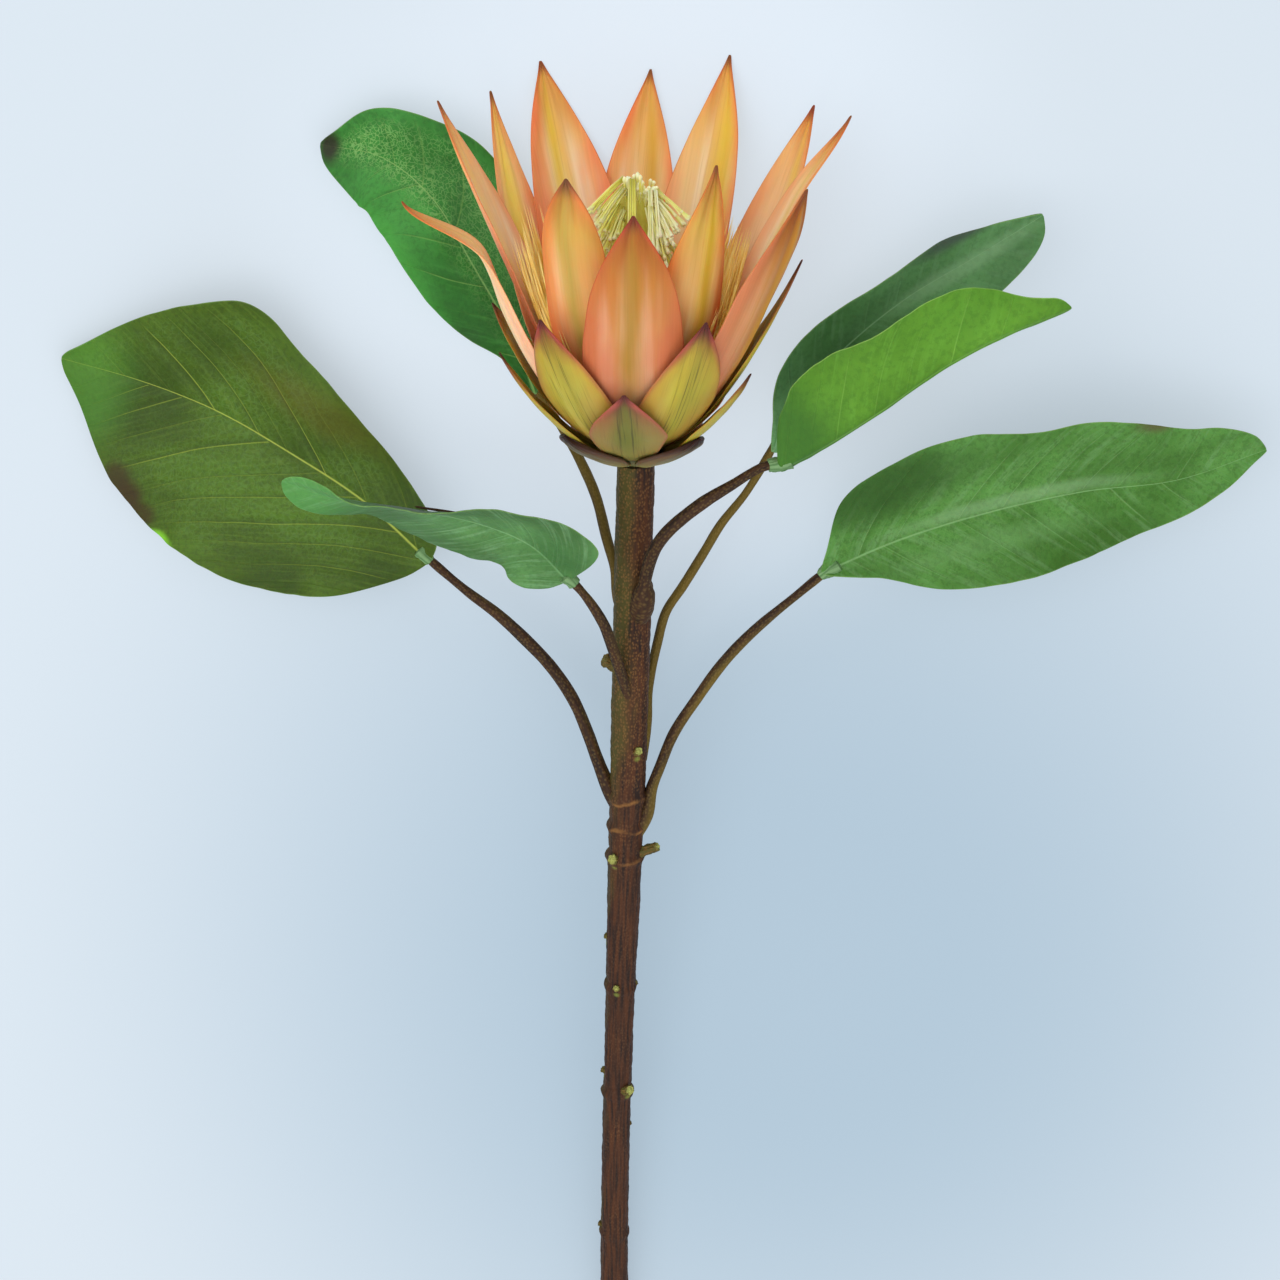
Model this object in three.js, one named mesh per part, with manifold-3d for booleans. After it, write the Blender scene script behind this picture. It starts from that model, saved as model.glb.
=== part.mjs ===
// A cut king protea on its leafy stem, laid down on a table.
//
// Everything is built upright in the plant's own frame, in millimetres: +Z runs up the stem into
// the bloom, the origin is where the stem meets the bloom, -Y is the side that faces up once the
// stem is laid down, and +X is its right. The finished plant is then tipped on to its back, so
// that the backs of two petals and the cut end of the stem meet the table at z = 0.

import * as THREE from "three";
import { mergeVertices } from "three/addons/utils/BufferGeometryUtils.js";
import Module from "manifold-3d";

const wasm = await Module();
wasm.setup();

// ---------------------------------------------------------------- driving sizes, mm and degrees

const STEM_LENGTH = 385; // from the bloom down to the cut end
const STEM_TOP = 2; // where the stem ends inside the lowest bracts
const FIT_GAP = 0.3; // free space between two pieces that touch
const LAID_TILT = 5.5; // how far the stem still points up once it is laid down
const LAID_HEIGHT = 41.95; // the plant's origin above the table
const LAID_X = -9.5; // the plant's origin from the middle of the laid plant, in X and Y
const LAID_Y = 128;

// ---------------------------------------------------------------- small helpers

const { sin, cos, sqrt, abs, sign, PI, min, max } = Math;
const rad = THREE.MathUtils.degToRad;
const smooth = THREE.MathUtils.smoothstep;
const mix = THREE.MathUtils.lerp;
const vec = (x, y, z) => new THREE.Vector3(x, y, z);
const through = (points) => new THREE.CatmullRomCurve3(points, false, "centripetal");

/** A smooth line through evenly spaced values, read at u from 0 to 1. */
function spline(values, u) {
  const last = values.length - 1;
  const at = (i) => values[THREE.MathUtils.clamp(i, 0, last)];
  const i = min(Math.floor(u * last), last - 1);
  const t = u * last - i;
  const slope0 = (at(i + 1) - at(i - 1)) / 2;
  const slope1 = (at(i + 2) - at(i)) / 2;
  const ends = at(i) * (1 + 2 * t) * (1 - t) ** 2 + at(i + 1) * t * t * (3 - 2 * t);
  return ends + slope0 * t * (1 - t) ** 2 + slope1 * t * t * (t - 1);
}

/** Random numbers from 0 to 1 that are the same on every run. */
function seeded(seed) {
  let state = seed;
  return () => {
    state = (state * 1103515245 + 12345) % 2147483648;
    return state / 2147483648;
  };
}

// ---------------------------------------------------------------- solids

/** A closed geometry as a manifold-3d solid. */
function solid(geometry) {
  const bare = geometry.clone();
  bare.deleteAttribute("normal");
  bare.deleteAttribute("uv");
  const merged = mergeVertices(bare, 1e-4);
  return new wasm.Manifold(
    new wasm.Mesh({
      numProp: 3,
      vertProperties: new Float32Array(merged.attributes.position.array),
      triVerts: new Uint32Array(merged.index.array),
    }),
  );
}

/** A manifold-3d solid as a geometry. */
function geometryOf(body) {
  const mesh = body.getMesh();
  const geometry = new THREE.BufferGeometry();
  geometry.setAttribute("position", new THREE.BufferAttribute(mesh.vertProperties, 3));
  geometry.setIndex(new THREE.BufferAttribute(mesh.triVerts, 1));
  return geometry;
}

/** Several solids fused in one. */
const fused = (bodies) => bodies.reduce((whole, body) => whole.add(body));

/** A geometry from a list of coordinates and a list of corner numbers. */
function meshOf(places, corners) {
  const geometry = new THREE.BufferGeometry();
  geometry.setAttribute("position", new THREE.BufferAttribute(new Float32Array(places), 3));
  geometry.setIndex(corners);
  return geometry;
}

/**
 * A thin closed blade on a surface. point(u, v) gives the middle of the blade for u from 0 to 1
 * along it and v from -1 to 1 across it. Both faces have the same triangles.
 */
function blade(point, thickness, along, across, spacing = (s) => s) {
  const places = [];
  const corners = [];
  const step = 1e-3;
  const columns = across + 1;
  const back = (along + 1) * columns;
  for (const side of [1, -1]) {
    for (let i = 0; i <= along; i++) {
      for (let j = 0; j <= across; j++) {
        const u = spacing(i / along);
        const v = (2 * j) / across - 1;
        const du = point(min(u + step, 1), v).sub(point(max(u - step, 0), v));
        const dv = point(u, min(v + step, 1)).sub(point(u, max(v - step, -1)));
        const normal = dv.cross(du).normalize();
        const p = point(u, v).addScaledVector(normal, (side * thickness) / 2);
        places.push(p.x, p.y, p.z);
      }
    }
  }
  for (let i = 0; i < along; i++) {
    for (let j = 0; j < across; j++) {
      const a = i * columns + j;
      const [b, c, d] = [a + 1, a + columns + 1, a + columns];
      corners.push(a, b, c, a, c, d);
      corners.push(back + a, back + c, back + b, back + a, back + d, back + c);
    }
  }
  const rim = [];
  for (let j = 0; j < across; j++) rim.push(j);
  for (let i = 0; i < along; i++) rim.push(i * columns + across);
  for (let j = across; j > 0; j--) rim.push(along * columns + j);
  for (let i = along; i > 0; i--) rim.push(i * columns);
  rim.forEach((a, k) => {
    const b = rim[(k + 1) % rim.length];
    corners.push(a, back + a, back + b, a, back + b, b);
  });
  return meshOf(places, corners);
}

/** A closed round limb along a curve, with radius(u) at u from 0 to 1. */
function limb(curve, radius, sides, steps) {
  const geometry = new THREE.CylinderGeometry(1, 1, 1, sides, steps);
  const frames = curve.computeFrenetFrames(steps);
  const at = geometry.attributes.position;
  for (let i = 0; i < at.count; i++) {
    const ring = Math.round((0.5 - at.getY(i)) * steps);
    const u = ring / steps;
    const p = curve
      .getPointAt(u)
      .addScaledVector(frames.normals[ring], at.getX(i) * radius(u))
      .addScaledVector(frames.binormals[ring], at.getZ(i) * radius(u));
    at.setXYZ(i, p.x, p.y, p.z);
  }
  return geometry;
}

/** A solid of revolution about +Z from [radius, height] points, closed on the axis. */
function turned(outline, sides) {
  const points = outline.map(([r, z]) => new THREE.Vector2(r, z));
  return new THREE.LatheGeometry(points, sides).rotateX(PI / 2);
}

// ---------------------------------------------------------------- stem

const STEM_SIDES = 12;
// Radius of the stem at even steps from the cut end up to the bloom.
const STEM_RADII = [5.3, 5.3, 5.2, 5.2, 5.3, 5.9, 6.2, 6.4, 6.4, 6.3];
// Sideways place of the stem's middle at the same steps.
const STEM_BENDS = [-7.5, -8.0, -7.6, -6.6, -5.4, -4.0, -2.6, -1.4, -0.4, 0.6];
// The knots that old leaves left: height below the bloom and how far each stands out.
const KNOTS = [
  [-45, 0.5],
  [-122, 0.6],
  [-140, 0.8],
  [-158, 1.3],
  [-205, 0.7],
  [-252, 1.1],
  [-318, 0.6],
];
const KNOT_HALF = 3;
// Stubs of side shoots: height, direction round the stem (0 faces up, 90 is right), length, radius.
const STUBS = [
  [-76, -84, 5, 2.4],
  [-119, 38, 2.6, 1.5],
  [-157, 78, 6.5, 1.9],
  [-160, -62, 3.2, 2],
  [-187, -92, 2.2, 1.4],
  [-206, 15, 2, 1.4],
  [-214, 95, 2, 1.3],
  [-246, -95, 2.4, 1.2],
  [-253, 42, 2.6, 1.9],
  [-288, 90, 2, 1.2],
  [-318, -95, 2, 1.2],
];

const stemU = (z) => 1 + z / STEM_LENGTH;
const stemX = (z) => spline(STEM_BENDS, stemU(z));
const stemRadius = (z) => {
  const swell = KNOTS.map(([at, out]) => out * max(0, 1 - ((z - at) / KNOT_HALF) ** 2));
  return spline(STEM_RADII, stemU(z)) + max(...swell);
};

/** The stem's own body, grown outwards by more on every side. */
function stemBody(more) {
  const heights = [-STEM_LENGTH, STEM_TOP];
  for (let z = -STEM_LENGTH + 22; z < -10; z += 22) {
    if (KNOTS.every(([at]) => abs(z - at) > KNOT_HALF + 3)) heights.push(z);
  }
  for (const [at] of KNOTS) heights.push(at - KNOT_HALF, at, at + KNOT_HALF);
  const outline = heights.sort((a, b) => a - b).map((z) => [stemRadius(z) + more, z]);
  outline[0][1] -= more;
  outline[outline.length - 1][1] += more;
  const closed = [[0, outline[0][1]], ...outline, [0, outline[outline.length - 1][1]]];
  const geometry = turned(closed, STEM_SIDES);
  const at = geometry.attributes.position;
  for (let i = 0; i < at.count; i++) at.setX(i, at.getX(i) + stemX(max(at.getZ(i), -STEM_LENGTH)));
  return solid(geometry);
}

/** A short stub that leans up from the stem. */
function stub([z, turn, length, radius]) {
  const out = vec(sin(rad(turn)), -cos(rad(turn)), 0.5).normalize();
  const root = vec(stemX(z), 0, z).addScaledVector(out, stemRadius(z) - 3);
  const top = root.clone().addScaledVector(out, length + 3);
  return solid(limb(new THREE.LineCurve3(root, top), (u) => radius * mix(1.1, 0.85, u), 6, 2));
}

// ---------------------------------------------------------------- leaves

const BLADE_THICK = 0.9;
const RIB_REACH = 0.45; // share of the blade that the stalk runs under, as its midrib
const RIB_RADIUS = 1.1;
const LEAF_ALONG = 13;
const LEAF_ACROSS = 6;

// Each leaf: the middle line of its stalk from the stem out, and of its blade from there on; the
// half widths of the blade at even steps, left and right of that line as seen from above with the
// tip pointing up; the share of its length in which the base and the tip round off; how far it
// is rolled about its length at even steps, where 0 faces straight up and positive lifts the
// right half; how far the halves fold up about the midrib, in how tight a bend; how much and in
// how many waves the edges ripple; how far the midrib stands clear; and the stalk's thickness.
const LEAVES = {
  behind_left: {
    stalk: [[0, 2, -60], [-5, 3, -50], [-6.5, 7, -40.5], [-9.5, 13, -31.5], [-13, 21, -20.5], [-18.5, 30, -11], [-26, 37, 0]],
    blade: [[-34, 38, 11], [-42, 39, 33], [-54, 40, 56], [-68, 42, 80], [-84, 43, 93], [-104, 44, 97]],
    left: [2, 5.5, 15, 19.5, 21, 20.8, 18.3, 18.5, 15.7],
    right: [2.7, 9.3, 17, 23, 25, 26, 20.5, 16, 7],
    base_round: 0.1,
    tip_round: 0.25,
    roll: [0, 0, 0],
    fold: 20,
    bend: 14,
    ripple: 0.8,
    waves: 3,
    sunk: 0.1,
    thick: 3.6,
  },
  left: {
    stalk: [[-3, 1, -134], [-9, 1, -123], [-13, 3, -113], [-16.5, 5, -103], [-21.5, 8, -91.5], [-29, 11, -80.5], [-38, 14, -71.5], [-48, 16, -62.5], [-59.5, 18, -54]],
    blade: [[-71, 20, -44], [-93, 24, -23], [-118, 29, -7], [-143, 33, 7], [-169, 36, 17], [-196, 39, 24]],
    left: [17, 35.5, 45.5, 50.5, 51.7, 51, 42.5, 31, 13],
    right: [11.5, 15, 21.4, 29.5, 35.4, 42.8, 32.7, 18.7, 8.5],
    base_round: 0.1,
    tip_round: 0.2,
    roll: [-4, 0, 4],
    fold: 14,
    bend: 20,
    ripple: 1.2,
    waves: 3,
    sunk: 0,
    thick: 4.3,
  },
  front_left: {
    stalk: [[1, -1, -92], [-2.5, -5, -81], [-5.2, -9, -70], [-7.5, -12, -61], [-10, -15, -52.5], [-14, -17, -45], [-18.5, -18, -38.5]],
    blade: [[-22, -18, -34], [-34, -18, -21], [-53, -19, -12], [-74, -21, -7], [-95, -22, -3], [-114, -23, 4]],
    left: [11, 16.5, 15.5, 18.5, 24, 21, 14, 11.5, 10],
    right: [22, 23, 20, 16, 11, 8, 8, 8.5, 8],
    base_round: 0.08,
    tip_round: 0.12,
    roll: [22, 36, 62, 30],
    fold: 20,
    bend: 12,
    ripple: 0.6,
    waves: 4,
    sunk: 0,
    thick: 3.8,
  },
  behind_right: {
    stalk: [[1, 1, -112], [4, 3, -98], [5, 6, -85], [8, 9, -70], [11, 11, -59], [17, 13, -50], [24, 15, -39], [30, 16, -29], [39, 17, -17]],
    blade: [[47, 17, -2], [54, 18, 16], [70, 20, 34], [90, 24, 50], [112, 27, 63], [135, 30, 77]],
    left: [2, 5, 12.4, 14.3, 12.3, 11, 11.8, 7.7, 3.5],
    right: [7.4, 13, 17, 18.4, 19.5, 20, 17, 12.7, 11.6],
    base_round: 0.1,
    tip_round: 0.14,
    roll: [-10, -6, 0],
    fold: 26,
    bend: 12,
    ripple: 0.8,
    waves: 2.5,
    sunk: 0,
    thick: 3.3,
  },
  front_right: {
    stalk: [[1, -1, -56], [3, -6, -46], [4, -9, -36], [7, -12, -25], [12, -14, -17], [23, -15, -8], [33, -14, -3], [43, -12, 2]],
    blade: [[48, -10, 2], [62, -9, 10], [80, -8, 22], [101, -6, 37], [121, -5, 48], [141, -3, 56]],
    left: [8.2, 20.3, 26.5, 25.6, 24, 24.5, 19.7, 10, 8.6],
    right: [8, 13, 16, 15, 10, 5],
    base_round: 0.12,
    tip_round: 0.08,
    roll: [-50, -50, -46],
    fold: -100,
    bend: 5,
    ripple: 1.6,
    waves: 2.4,
    sunk: 0.5,
    thick: 4.3,
  },
  right: {
    stalk: [[-2, 0, -143], [4, -1, -133], [6, 0, -123], [9, 0, -114], [14, 1, -101], [22, 2, -88], [31, 3, -75], [41, 4, -64], [55, 4, -51]],
    blade: [[64, 4, -41], [90, 7, -30], [122, 11, -21], [153, 14, -15], [185, 17, -12], [215, 20, -2]],
    left: [6, 25.8, 30.8, 30.9, 26.8, 26.5, 22.7, 16.8, 11.6],
    right: [3, 9.7, 21.3, 25.2, 24.4, 21.8, 15, 8.5, 3],
    base_round: 0.1,
    tip_round: 0.1,
    roll: [0, 6, 4],
    fold: 30,
    bend: 22,
    ripple: 1.4,
    waves: 2.4,
    sunk: 0,
    thick: 3.8,
  },
};

/** How much of its width a leaf has at u, from its rounded base to its rounded tip. */
function rounding(leaf, u) {
  const base = min(u / leaf.base_round, 1);
  const tip = min((1 - u) / leaf.tip_round, 1);
  return sqrt(1 - (1 - base) ** 2) * sqrt(1 - (1 - tip) ** 2);
}

/** The middle surface of a leaf's blade. */
function leafPoint(leaf) {
  const midrib = through(leaf.blade.map((p) => vec(...p)));
  const half = abs(rad(leaf.fold)) / 2;
  return (u, v) => {
    const along = midrib.getTangent(u);
    const down = vec(0, 1, 0).addScaledVector(along, -along.y).normalize();
    const across = new THREE.Vector3().crossVectors(down, along);
    const roll = rad(spline(leaf.roll, u));
    const right = across.clone().multiplyScalar(cos(roll)).addScaledVector(down, -sin(roll));
    const up = down.multiplyScalar(-cos(roll)).addScaledVector(across, -sin(roll));
    const width = max(spline(v < 0 ? leaf.left : leaf.right, u) * rounding(leaf, u), 0.5);
    const reach = abs(v) * width;
    const bent = min(reach, leaf.bend * half);
    const turn = bent / leaf.bend;
    const out = leaf.bend * sin(turn) + (reach - bent) * cos(turn);
    const lift = leaf.bend * (1 - cos(turn)) + (reach - bent) * sin(turn);
    const wave = leaf.ripple * v * v * sin(2 * PI * leaf.waves * u + v);
    return midrib
      .getPoint(u)
      .addScaledVector(right, sign(v) * out)
      .addScaledVector(up, sign(leaf.fold) * lift + wave * rounding(leaf, u));
  };
}

/** A leaf's blade. */
function leafBlade(leaf) {
  const spacing = (s) => mix(s, (1 - cos(PI * s)) / 2, 0.6);
  return solid(blade(leafPoint(leaf), BLADE_THICK, LEAF_ALONG, LEAF_ACROSS, spacing));
}

/** A leaf's stalk, from its swollen foot on the stem to the midrib under the blade. */
function leafStalk(leaf, stemSpace) {
  const point = leafPoint(leaf);
  const step = 1e-3;
  const under = (u) => {
    const du = point(u + step, 0).sub(point(max(u - step, 0), 0));
    const dv = point(u, step).sub(point(u, -step));
    return du.cross(dv).normalize();
  };
  const depth = BLADE_THICK / 2 + FIT_GAP + RIB_RADIUS + leaf.sunk;
  const places = leaf.stalk.map((p, i) => {
    const near = smooth(i / (leaf.stalk.length - 1), 0.5, 1);
    return vec(...p).addScaledVector(under(0), (depth + 0.5) * near);
  });
  for (const u of [0.04, 0.12, 0.2, 0.28, 0.36, RIB_REACH]) {
    places.push(point(u, 0).addScaledVector(under(u), depth));
  }
  const line = through(places);
  const lengths = line.getLengths(200);
  const ribStart = places[leaf.stalk.length];
  let joint = 0;
  for (let i = 0; i <= 200; i++) {
    if (line.getPoint(i / 200).distanceTo(ribStart) < line.getPoint(joint / 200).distanceTo(ribStart)) joint = i;
  }
  const share = lengths[joint] / lengths[200];
  const radius = (u) => {
    const foot = 1.8 * max(0, 1 - u / 0.12) ** 1.5;
    const stalk = mix(leaf.thick / 2, RIB_RADIUS, smooth(u, share * 0.6, share)) + foot;
    return u < share ? stalk : mix(RIB_RADIUS, 0.5, (u - share) / (1 - share));
  };
  return solid(limb(line, radius, 8, 26)).subtract(stemSpace);
}

// ---------------------------------------------------------------- bloom

const RECEPTACLE = [
  [0, STEM_TOP + FIT_GAP],
  [6.4, STEM_TOP + FIT_GAP],
  [9, 5.5],
  [11.2, 9],
  [12.9, 13],
  [12.6, 20],
  [10.5, 25],
  [8, 27.5],
  [0, 28],
];
const BRACT_THICK = 1.1;

// The layers of the bloom from the inside out. Each has the line that its bracts follow up from
// their roots, as [distance from the axis, height] points; how its width swells: where it is
// widest, how wide the root is and how blunt the tip is; how boat-shaped its bracts are; how far
// one may reach either side of its middle, in degrees round the axis; and each bract: turn round
// the axis (0 faces up, 90 is right), half width, tip, sideways sway of the tip in degrees,
// outward hook of the tip, how steeply it twists to its tip, and bluntness where it is not the
// layer's own.
const BLOOM = {
  petal_inner: {
    profile: [[13.4, 20], [28, 34], [40, 68], [54, 122]],
    widest: 0.46,
    root: 0.42,
    point: 1.5,
    cup: 0.016,
    sector: 26,
    steps: [11, 4],
    each: [
      { turn: 31, width: 14.5, tip: [47, 113], sway: 1, hook: 1, point: 1.4 },
      { turn: 92, width: 13, tip: [69, 116], sway: 4, hook: 4 },
      { turn: 149, width: 14.5, tip: [62.7, 124.4], sway: 0.6, hook: -2, point: 1.4 },
      { turn: -152, width: 17, tip: [62, 122.5], sway: 2, hook: -2 },
      { turn: -96, width: 14.5, tip: [62, 121] },
      { turn: -31, width: 14.5, tip: [42, 108], point: 3.2, hook: -3, sway: 2 },
    ],
  },
  petal_outer: {
    profile: [[13.8, 14], [34, 28], [46, 62], [57, 116]],
    widest: 0.44,
    root: 0.42,
    point: 1.5,
    cup: 0.009,
    sector: 26,
    steps: [11, 4],
    each: [
      { turn: 0, width: 17, tip: [52, 101], point: 1.8, hook: -3 },
      { turn: 60, width: 17, tip: [61, 103], point: 2, hook: -2 },
      { turn: 118, width: 15.5, tip: [66.3, 113.4] },
      { turn: 181, width: 15.5, tip: [53, 120], sway: -7, hook: -2, point: 1.7 },
      { turn: -126, width: 13.5, tip: [56, 118], sway: 2, point: 1.2 },
      { turn: -72, width: 13, tip: [75, 97], hook: 20, twist: 0.35 },
    ],
  },
  bract_high: {
    profile: [[12.8, 10.4], [29, 19.5], [40, 39], [49, 66]],
    widest: 0.42,
    root: 0.5,
    point: 1.2,
    cup: 0.005,
    sector: 26,
    steps: [8, 4],
    each: [
      { turn: -35, width: 15, tip: [50, 65] },
      { turn: 27, width: 15, tip: [49, 65] },
      { turn: 84, width: 12, tip: [54, 73] },
      { turn: 140, width: 13, tip: [49, 62] },
      { turn: -162, width: 13, tip: [49, 62] },
      { turn: -100, width: 12, tip: [47, 54] },
    ],
  },
  bract_low: {
    profile: [[10.3, 6.2], [24, 11.8], [33.5, 23], [42, 40]],
    widest: 0.4,
    root: 0.6,
    point: 1.2,
    cup: 0.002,
    sector: 26,
    steps: [7, 4],
    each: [
      { turn: -4, width: 14, tip: [43, 41] },
      { turn: 68, width: 13, tip: [40.5, 38] },
      { turn: 124, width: 13, tip: [42, 38] },
      { turn: 179, width: 13, tip: [42, 38] },
      { turn: -126, width: 13, tip: [42, 38] },
      { turn: -70, width: 12, tip: [44, 42], sway: -12 },
    ],
  },
  bract_base: {
    profile: [[8.4, 3.6], [16, 4.6], [22.7, 8], [26, 15]],
    widest: 0.5,
    root: 0.7,
    point: 1.4,
    cup: 0,
    sector: 42,
    steps: [6, 6],
    each: [
      { turn: 44, width: 15, tip: [25.6, 14.5], sway: 10 },
      { turn: 131, width: 12, tip: [26, 15] },
      { turn: -140, width: 12, tip: [26, 15] },
      { turn: -48, width: 15, tip: [26, 15], sway: -10 },
    ],
  },
};

/**
 * The middle surface of one bract, wrapped round the plant's axis. Near its root it keeps to its
 * layer's own line, so the layers nest, and further up it bends to its own tip.
 */
function bractPoint(layer, own) {
  const line = new THREE.CubicBezierCurve(...layer.profile.map(([r, z]) => new THREE.Vector2(r, z)));
  const [layerR, layerZ] = layer.profile[3];
  const curl = own.hook ?? 0;
  return (u, v) => {
    const middle = line.getPoint(u);
    const free = u ** 3;
    const blunt = own.point ?? layer.point;
    const swell = sin((PI / 2) * min(u / layer.widest, 1));
    const fall = cos((PI / 2) * (max(u - layer.widest, 0) / (1 - layer.widest)) ** blunt);
    const most = rad(layer.sector) * middle.x;
    const t = v * max(min(own.width * mix(layer.root, 1, swell) * fall, most), 0.5);
    const boat = layer.cup * smooth(u, 0.25, 0.9) * t * t;
    const hook = curl * (smooth(u, 0.75, 1) ** 2 - free);
    const radius = middle.x + (own.tip[0] - layerR) * free + hook - boat + (own.twist ?? 0) * free * t;
    const angle = rad(own.turn + (own.sway ?? 0) * free) + t / middle.x;
    return vec(radius * sin(angle), -radius * cos(angle), middle.y + (own.tip[1] - layerZ) * free);
  };
}

// ---------------------------------------------------------------- florets

const TUFT_TOP = 97;
const TUFT_STRANDS = 72;
const STRAND_RADIUS = 0.8;

/** The dense tuft of thread-like florets in the middle, each with a beaded end. */
function tuft() {
  const random = seeded(7);
  const parts = [solid(turned([[0, 28.3], [8, 28.3], [7.5, 50], [6, 75], [3.5, 90], [0, 94]], 10))];
  for (let i = 0; i < TUFT_STRANDS; i++) {
    const share = i / TUFT_STRANDS;
    const turn = i * 2.39996 + random() * 0.3;
    const rise = share < 0.2;
    const out = vec(sin(turn), -cos(turn), 0);
    const height = rise ? 80 : mix(95, 52, (share - 0.2) / 0.8);
    const from = out.clone().multiplyScalar(rise ? 2.5 : 2).setZ(height);
    const reach = rise ? 1 + 4 * random() : 15 + 3 * random();
    const end = rise ? TUFT_TOP + 3 * random() : height - 11 - 3 * random();
    const to = out.clone().multiplyScalar(reach).setZ(end);
    const radius = (u) => STRAND_RADIUS * (u > 0.8 ? 1.35 : 1);
    parts.push(solid(limb(new THREE.LineCurve3(from, to), radius, 4, 3)));
  }
  return fused(parts);
}

// ---------------------------------------------------------------- the whole plant

const paint = (color, roughness) => new THREE.MeshStandardMaterial({ color, roughness });
const materials = {
  stem: paint(0x5a3320, 0.85),
  stalk: paint(0x5f3a22, 0.8),
  blade: paint(0x4f8a2e, 0.55),
  petal: paint(0xe9a06c, 0.7),
  bract: paint(0xa9963a, 0.7),
  base: paint(0x7a6248, 0.75),
  floret: paint(0xe3dc86, 0.7),
  receptacle: paint(0xc98a4a, 0.8),
};
const LAYER_PAINTS = { petal_inner: "petal", petal_outer: "petal", bract_base: "base" };

const plant = new THREE.Group();
plant.rotation.x = rad(LAID_TILT - 90);
plant.position.set(LAID_X, LAID_Y, LAID_HEIGHT);
plant.updateMatrixWorld(true);

const slab = new THREE.BoxGeometry(2000, 2000, 100).translate(0, 0, -50);
const table = solid(slab.applyMatrix4(plant.matrixWorld.clone().invert()));

/** Adds a solid to the plant as a named mesh, cut flat where it rests on the table. */
function add(name, body, material) {
  const mesh = new THREE.Mesh(geometryOf(body.subtract(table)), material);
  mesh.name = name;
  plant.add(mesh);
}

const stemSpace = stemBody(FIT_GAP);
add("stem", fused([stemBody(0), ...STUBS.map(stub)]), materials.stem);
for (const [name, leaf] of Object.entries(LEAVES)) {
  add(`stalk_${name}`, leafStalk(leaf, stemSpace), materials.stalk);
  add(`leaf_${name}`, leafBlade(leaf), materials.blade);
}
add("receptacle", solid(turned(RECEPTACLE, 16)), materials.receptacle);
for (const [name, layer] of Object.entries(BLOOM)) {
  const material = materials[LAYER_PAINTS[name] ?? "bract"];
  layer.each.forEach((own, i) => {
    const body = solid(blade(bractPoint(layer, own), BRACT_THICK, ...layer.steps));
    add(`${name}_${i + 1}`, body, material);
  });
}
add("florets", tuft(), materials.floret);

const part = new THREE.Group();
part.add(plant);

export default part;
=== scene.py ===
"""A cut king protea on its leafy stem, laid down on a table.

The flower is an artificial one: petals, bracts and leaves cut from thin printed sheet, a moulded
stem and stalks with a grained plastic skin, and a tuft of soft plastic threads in the bloom.

Each sub-assembly works in the plant's own frame in millimetres: +Z runs up the stem into the
bloom, the origin is where they meet, -Y is the side that faces up once the flower is laid down,
and +X is its right. Laid.place turns those points into metres on the table.
"""

from __future__ import annotations

import logging
import math
from dataclasses import dataclass, field
from enum import Enum
from typing import Any, Callable, Iterable

import bpy
import numpy as np
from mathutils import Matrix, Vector


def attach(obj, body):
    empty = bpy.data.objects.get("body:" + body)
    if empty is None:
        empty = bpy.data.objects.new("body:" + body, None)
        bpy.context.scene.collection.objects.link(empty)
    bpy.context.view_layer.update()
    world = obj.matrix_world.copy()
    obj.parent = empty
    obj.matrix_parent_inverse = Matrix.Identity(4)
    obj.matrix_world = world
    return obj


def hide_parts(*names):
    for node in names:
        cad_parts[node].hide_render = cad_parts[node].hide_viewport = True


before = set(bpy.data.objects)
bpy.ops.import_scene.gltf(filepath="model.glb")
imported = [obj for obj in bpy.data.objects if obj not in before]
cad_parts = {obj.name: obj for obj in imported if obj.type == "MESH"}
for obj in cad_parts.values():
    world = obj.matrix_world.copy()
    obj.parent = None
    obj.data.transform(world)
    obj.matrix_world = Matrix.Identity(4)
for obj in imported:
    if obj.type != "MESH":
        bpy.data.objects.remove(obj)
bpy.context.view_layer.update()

log = logging.getLogger("protea")

MM = 0.001
BODY = "root"

Points = np.ndarray
Surface = Callable[[np.ndarray, np.ndarray], Points]


# ------------------------------------------------------------------------------ shared arithmetic


def smooth(x: np.ndarray, low: float, high: float) -> np.ndarray:
    """Returns a soft step from 0 at low to 1 at high."""
    t = np.clip((x - low) / (high - low), 0, 1)
    return t * t * (3 - 2 * t)


def mix(low: Any, high: Any, share: Any) -> Any:
    """Returns the value that lies at share between low and high."""
    return low + (high - low) * share


def spline(values: Iterable[float], u: np.ndarray) -> np.ndarray:
    """Reads a smooth line through evenly spaced values.

    Args:
        values: What the line passes through, from u 0 to u 1.
        u: Where to read it.

    Returns:
        One value for each u.
    """
    knots = np.asarray(list(values), float)
    last = len(knots) - 1
    i = np.clip(np.floor(u * last).astype(int), 0, last - 1)
    t = u * last - i
    before, after = knots[np.clip(i - 1, 0, last)], knots[np.clip(i + 2, 0, last)]
    here, there = knots[i], knots[i + 1]
    ends = here * (1 + 2 * t) * (1 - t) ** 2 + there * t * t * (3 - 2 * t)
    return ends + (there - before) / 2 * t * (1 - t) ** 2 + (after - here) / 2 * t * t * (t - 1)


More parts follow.
